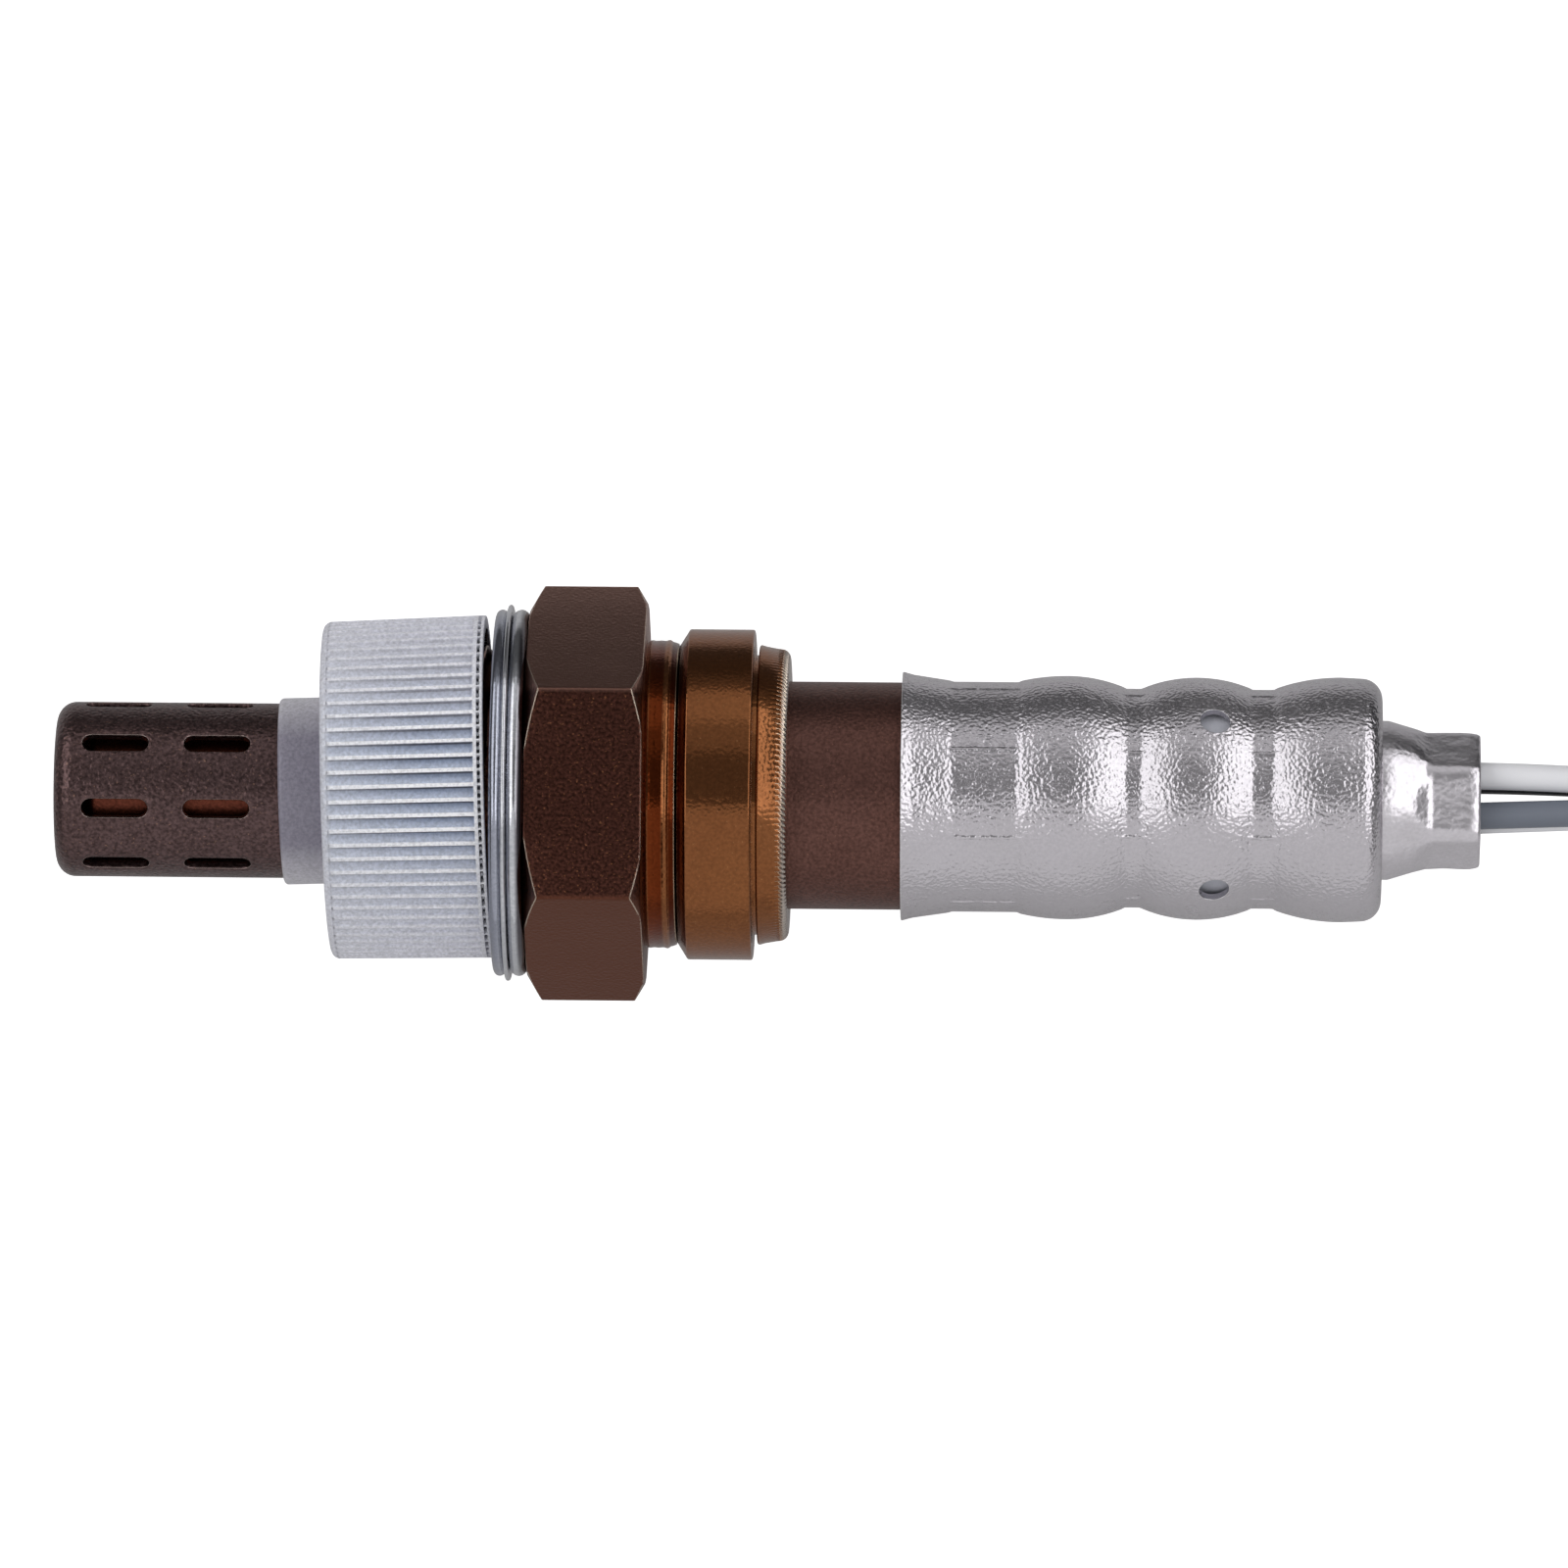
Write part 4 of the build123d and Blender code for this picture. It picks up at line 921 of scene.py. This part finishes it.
def pressedRadius(x, r, angle):  # jaws press the bands down between their seams
    s = sleeve
    inBand = max(between(start - 0.12, start + 0.06, x) * between(-end - 0.12, -end + 0.06, -x)
                 for start, end, radius in s["bands"])
    wander = s["seamWander"] * noise.noise((x * 2.5, angle // (360 / s["jaws"]), 0))
    off = (angle - s["jawTurn"] + degrees(wander / r)) % (360 / s["jaws"]) - 180 / s["jaws"]
    pressed = between(s["seamWidth"] / 2, s["seamWidth"] / 2 + 0.07, radians(abs(off)) * r)
    return r - s["seam"] * inBand * pressed


def makeSleeve(s):
    xs = [s["front"] + 0.05, s["front"] + 0.2, s["front"] + 0.4]
    x = s["flareEnd"]
    while x < s["end"] - s["endRound"]:
        xs.append(x)
        x += s["step"]
    xs += [s["end"] - s["endRound"] * (1 - sin(radians(10 * i))) for i in range(10)]
    outside = [(s["front"], s["mouth"] - 0.05)] + [(x, sleeveRadius(x)) for x in xs]
    outside += [(s["end"], s["endHole"] + 0.1), (s["end"] - 0.1, s["endHole"])]
    inside = [(s["end"] - s["wall"], s["endHole"]), (s["end"] - s["wall"], s["endInside"])]
    inside += [(s["end"] - s["rearCorner"][0], s["rearCorner"][1])]
    coarse = [x for x in reversed(xs) if x < s["end"] - s["endRound"]][::3]
    inside += [(x, sleeveRadius(x) - s["wall"] - s["seam"]) for x in coarse]
    inside += [(s["front"] + 0.05, s["mouth"] - s["wall"]), (s["front"], s["mouth"] - s["wall"] + 0.05)]
    step = 360 / s["jaws"]
    sides = (-2, -1.3, -0.8, -0.35, 0, 0.35, 0.8, 1.3, 2)  # degrees, a finer mesh at the seams
    seams = [(s["jawTurn"] + step * (i + 0.5) + side) % 360 for i in range(s["jaws"]) for side in sides]
    plain = [a for a in evenAngles(240) if abs((a - s["jawTurn"]) % step - step / 2) > 2.4]
    angles = sorted(seams + plain)
    rows = turnedRows(outside, angles, pressedRadius) + turnedRows(inside, angles)
    piece = newPiece("formed_sleeve", wrapRows(rows), sleeveSteel, ["outer_sleeve"])
    vents = [s["ventAngle"] + 90 * i for i in range(4)]
    drill(piece, [(polar(s["ventAt"], 6.5, a), polar(s["ventAt"], 8.5, a)) for a in vents], s["vent"] / 2)


filterTube = {
    "bore": 5.9,
    "radius": 6.2,
    "start": 36.5,
    "end": 47.3,
    "swell": 0.38,
    "swellWidth": 2.6,
    "steps": 44,
}


def makeFilter(f):  # the porous tube swells out under the vents
    line = [(f["start"], f["bore"])]
    for i in range(f["steps"] + 1):
        x = f["start"] + (f["end"] - f["start"]) * i / f["steps"]
        near = max(1 - abs(x - sleeve["ventAt"]) / f["swellWidth"], 0)
        line.append((x, f["radius"] + f["swell"] * between(0, 0.6, near)))
    rows = turnedRows(line + [(f["end"], f["bore"])], evenAngles(120))
    newPiece("swollen_filter", wrapRows(rows), filterFelt, ["breather_filter"])


filterFelt = moulded("sintered_ptfe", "#c3c4cc", "#a9abb5", 0.5, 0.6, 0.12, 0.012)  # porous and matt
makeSleeve(sleeve)
makeFilter(filterTube)
print("sleeve and filter made")

# neck: flared tube with six flats pressed round the grommet
neck = {
    "front": 33.0,
    "tube": 5.85,
    "shoulder": 51.45,
    "out": 52.5,
    "outRadius": 4.86,
    "flareEnd": 54.8,
    "end": 58.1,
    "endRadius": 4.16,
    "flat": 3.76,
    "jawLength": 2.9,
    "runOut": 1.2,
    "runOutRise": 0.7,
    "jawTurn": -3,
    "dents": 0.045,
    "dentSize": 1.1,
    "blend": 0.12,
    "endRound": 0.35,
    "wall": 0.4,
    "flare": [(53.1, 4.68), (53.6, 4.52), (54.0, 4.4), (54.3, 4.31)],
    "inside": [(58.0, 3.3), (57.0, 3.3), (54.8, 3.7)],
}


def flattened(x, r, angle):
    n = neck
    sunk = n["flat"] + n["runOutRise"] * max((n["end"] - n["jawLength"] - x) / n["runOut"], 0) ** 1.5
    turn = radians((angle - n["jawTurn"] + 30) % 60 - 30)
    dent = n["dents"] * noise.noise(polar(x, n["flat"], angle) / (n["dentSize"] * mm)) if x > n["out"] else 0
    if x < n["out"] + 0.5:
        return r + dent
    pressed = sunk / cos(turn)
    near = max(n["blend"] - abs(pressed - r), 0) / n["blend"]
    return min(r, pressed) - near ** 2 * n["blend"] / 4 + dent


def mouthRadius(x, r, angle):  # the rolled end follows the flats
    inward = (r - neck["endRadius"]) * (0.6 if r > 3.6 else 1)
    return flattened(min(x, 58.0), neck["endRadius"], angle) + inward


def makeNeck(n):
    angles = evenAngles(240)
    outside = rounded([
        (n["front"], n["tube"] - n["wall"]), (n["front"], n["tube"]), (n["shoulder"], n["tube"], 0.4),
        (n["shoulder"], n["outRadius"]), (n["out"], n["outRadius"]), *n["flare"],
        (n["flareEnd"], n["endRadius"], 0.6), (n["flareEnd"] + 0.3, n["endRadius"]),
    ])
    outside += [(n["flareEnd"] + 0.3 + i * 0.1, n["endRadius"]) for i in range(1, 25)]
    rim = rounded([
        (57.6, n["endRadius"]), (n["end"], n["endRadius"] - 0.2, n["endRound"]), (n["end"], 3.5),
    ])[1:]
    inside = n["inside"] + [
        (n["out"], n["outRadius"] - n["wall"]), (n["shoulder"] - n["wall"], n["outRadius"] - n["wall"]),
        (n["shoulder"] - n["wall"], n["tube"] - n["wall"]),
    ]
    rows = turnedRows(outside, angles, flattened) + turnedRows(rim, angles, mouthRadius)
    rows += turnedRows(inside, angles)
    newPiece("crimped_neck", wrapRows(rows), neckSteel, ["neck_tube"])


makeNeck(neck)
print("neck made")

insulationColours = {
    "wire_white": ("#f0f0f3", "#e4e4ea"),
    "wire_black": ("#17181b", "#202226"),
    "wire_grey": ("#737985", "#686e7a"),
}
insulation = {}  # extruded silicone is smooth and half matt, and streaked along the wire
for slotName, (colour, mottle) in insulationColours.items():
    insulation[slotName] = moulded(
        "extruded_silicone_" + slotName[5:], colour, mottle, 2.0, 0.42, 0.3, 0.012, (0.15, 1, 1)
    )
for i, (node, curve) in enumerate(zip(wireSlots, wireCurves)):
    slotName = wireSlots[node]
    curve.data.materials.append(insulation[slotName])
    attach(curve, "sensor")
    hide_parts(node)
print("wires made")

# woven sleeve: strands cross in both directions and stand out from the tube
braid = {
    "strands": 16,
    "height": 0.22,
    "pitch": 9.0,  # length in which a strand goes once round
    "around": 64,
    "step": 0.34,
}


def evenLine(line, step):  # the same line, walked in even steps
    total = lineLength(line)
    count = round(total / step)
    even, walked, i = [line[0]], 0, 0
    for k in range(1, count):
        target = total * k / count
        while walked + (line[i + 1] - line[i]).length < target:
            walked += (line[i + 1] - line[i]).length
            i += 1
        even.append(line[i].lerp(line[i + 1], (target - walked) / (line[i + 1] - line[i]).length))
    return even + [line[-1]]


def braidRows(line, b, radius):
    rows, side = [], Vector((0, 0, 1))
    for i, point in enumerate(line):
        ahead = (line[min(i + 1, len(line) - 1)] - line[max(i - 1, 0)]).normalized()
        side = (side - ahead * side.dot(ahead)).normalized()
        other = ahead.cross(side)
        row = []
        for j in range(b["around"]):
            turn = j / b["around"]
            along = i * b["step"] / b["pitch"]
            one = abs(((turn + along) * b["strands"] / 2) % 1 - 0.5) * 2
            two = abs(((turn - along) * b["strands"] / 2) % 1 - 0.5) * 2
            over = max(sqrt(max(1 - one * one, 0)), sqrt(max(1 - two * two, 0)))
            r = (radius - b["height"] * (1 - over)) * mm
            row.append(point + (side * cos(turn * tau) + other * sin(turn * tau)) * r)
        rows.append(row)
    return rows


def makeLead(b):
    line = evenLine(leadLine, b["step"] * mm)
    rows = braidRows(line, b, lead["diameter"] / 2)
    for index in (0, -1):
        middle = sum(rows[index], Vector()) / len(rows[index])
        closing = [[middle.lerp(p, share) for p in rows[index]] for share in (0.86, 0.02)]
        rows = closing[::-1] + rows if index == 0 else rows + closing
    piece = newPiece("woven_lead", wrapRows(rows, False), braidFibre,
                     ["protective_sleeve", "sleeve_hank", "sleeve_tail"], sharp=60)
    plug = ["tape_band", "connector_boot", "connector_housing", "connector_lock"]
    plug += ["connector_pin_%d" % i for i in (1, 2, 3, 4)]


# black glass fibre, with a grey bloom on the strands
braidFibre = moulded("braided_glass_fibre", "#26282c", "#34373c", 0.6, 0.62, 0.12, 0.03)
makeLead(braid)
print("lead made")

# CAD solids that stay get the finish of their own material
slotLooks = {
    "zirconia": moulded("sintered_zirconia", "#d8d2c4", "#cbc4b4", 2.0, 0.5, 0.1, 0.004),  # matt ivory
    "alumina": moulded("sintered_alumina", "#e6e3dc", "#dad6cd", 2.0, 0.45, 0.12, 0.004),  # matt white
    "talc": moulded("pressed_talc", "#b9b4a8", "#a8a294", 0.5, 0.85, 0.15, 0.03),  # chalky grey
    "terminal_nickel": metal("stamped_nickel", {  # warm silver, edges rubbed and painted bright as highlights
        "colour": "#c4bda9", "mottle": ("#b3ab96", 1.2), "speckle": 0.1, "fleck": ("#e0dac9", 0.2, 0.7),
        "edgeWearAndHighlight": "#f0ead9", "roughness": 0.32, "grain": (0.1, 0.003)}),
    "grommet_rubber": moulded("fluoro_rubber", "#2b2523", "#362f2c", 1.5, 0.6, 0.15, 0.01),  # brown black
    "tape": moulded("cloth_tape", "#1d1e20", "#292b2e", 0.4, 0.7, 0.3, 0.04),  # black with the threads' grain
    "connector_nylon": moulded("moulded_nylon_black", "#1c1d20", "#232529", 5.0, 0.45, 0.25, 0.008),  # satin
    "seal_rubber": moulded("silicone_seal_rubber", "#2a2c30", "#33363b", 2.5, 0.6, 0.2, 0.008),  # soft grey
    "lock_nylon": moulded("moulded_nylon_lock", "#3f6e8c", "#38637e", 3.0, 0.45, 0.25, 0.006),  # plain blue
    "pin_brass": metal("tinned_brass", {  # pale silver over yellow
        "colour": "#cfc8b4", "mottle": ("#bdb49c", 1.0), "speckle": 0.1, "fleck": ("#e8e2d0", 0.2, 0.7),
        "edgeWearAndHighlight": "#f6f1e2", "roughness": 0.28, "grain": (0.1, 0.003)}),
    "rear_tube_steel": rearTubeSteel,
    "housing_steel": innerTubeSteel,
    "tip_steel": innerTubeSteel,
    "sleeve_steel": sleeveSteel,
}
for name, node in nodes.items():
    for slotRoom in node.material_slots:
        look = slotLooks.get(slotRoom.material.name.split(".")[0]) if slotRoom.material else None
        if look:
            slotRoom.material = look
        else:
            print("left:", name, slotRoom.material and slotRoom.material.name)
print("finishes given")

# room: paper floor, two long softboxes left and right of the camera, a wide card on the lower side
room = {
    "worldLight": 0.18,
    "floorZ": -11.0,  # mm, under the hex's lower flat
    "floorReach": 1.5,
    "floorColour": "#cdcdcd",
    "floorGlow": 0.85,
    "reflectionShadeSpan": (24, 34),  # mm from the sensor to where the floor is painted dark grey for reflections alone, on its upper side
    "paintedReflectionShade": "#5a5a5a",
    "target": (0.016, 0, 0),
    "softboxes": [
        {"name": "key_left", "tilt": -42, "lean": 32, "wide": 36, "tall": 80, "radiance": 1.4},
        {"name": "key_right", "tilt": 40, "lean": 32, "wide": 38, "tall": 80, "radiance": 1.55},
        {"name": "low_card", "lean": -49, "wide": 110, "tall": 82, "radiance": 0.5},
        {"name": "upper_strip", "lean": 54, "wide": 28, "tall": 48, "radiance": 0.21},
        {"name": "top_strip", "lean": 65, "wide": 28, "tall": 26, "radiance": 0.25, "distance": 0.98},
    ],
}


def addSoftbox(box):  # tilt from the vertical towards +X, lean towards +Y, width and height as angles
    target, distance = Vector(room["target"]), box.get("distance", 1.0)
    lean, tilt = radians(box["lean"]), radians(box.get("tilt", 0))
    back = Vector((sin(tilt), cos(tilt) * sin(lean), cos(tilt) * cos(lean)))
    right = (Vector((1, 0, 0)) - back * back.x).normalized()
    data = bpy.data.lights.new(box["name"], "AREA")
    data.shape = "RECTANGLE"
    data.size = 2 * distance * tan(radians(box["wide"] / 2))
    data.size_y = 2 * distance * tan(radians(box["tall"] / 2))
    data.energy = box["radiance"] * pi * data.size * data.size_y
    lamp = addObject(box["name"], data)
    lamp.matrix_world = Matrix((right, back.cross(right), back)).transposed().to_4x4()
    lamp.location = target + back * distance


def makeRoom(r):
    world = bpy.data.worlds.new("dim_room")
    scene.world = world
    world.use_nodes = True
    background = world.node_tree.nodes["Background"]
    background.inputs["Color"].default_value = (1, 1, 1, 1)
    background.inputs["Strength"].default_value = r["worldLight"]
    for box in r["softboxes"]:
        addSoftbox(box)
    mesh, far, low = bpy.data.meshes.new("floor"), r["floorReach"], r["floorZ"] * mm
    corners = [(-far, -far, low), (far, -far, low), (far, far, low), (-far, far, low)]
    mesh.from_pydata(corners, [], [(0, 1, 2, 3)])
    floor = addObject("floor", mesh)
    material, tree = newMaterial("white_paper")  # matt, with a glow for the camera alone and a painted dark reflection on its upper side
    rays = addNode(tree, "LightPath")
    place = addNode(tree, "NewGeometry")
    axes = addNode(tree, "SeparateXYZ", {0: place.outputs["Position"]})
    beyond = addNode(tree, "MapRange", {
        "Value": axes.outputs["Y"], "From Min": r["reflectionShadeSpan"][0] * mm, "From Max": r["reflectionShadeSpan"][1] * mm,
    })
    inReflection = addNode(tree, "Math", {
        0: beyond, 1: rays.outputs["Is Glossy Ray"],
    }, operation="MULTIPLY")
    colour = addNode(tree, "MixRGB", {
        "Fac": inReflection, "Color1": r["floorColour"], "Color2": r["paintedReflectionShade"],
    })
    paper = addNode(tree, "BsdfDiffuse", {"Color": colour})
    glow = addNode(tree, "Emission", {"Strength": r["floorGlow"]})
    bright = addNode(tree, "AddShader", {0: paper, 1: glow})
    seen = addNode(tree, "MixShader", {0: rays.outputs["Is Camera Ray"], 1: paper, 2: bright})
    addNode(tree, "OutputMaterial", {"Surface": seen})
    mesh.materials.append(material)


makeRoom(room)
scene.view_settings.view_transform = "Standard"
print("room made")
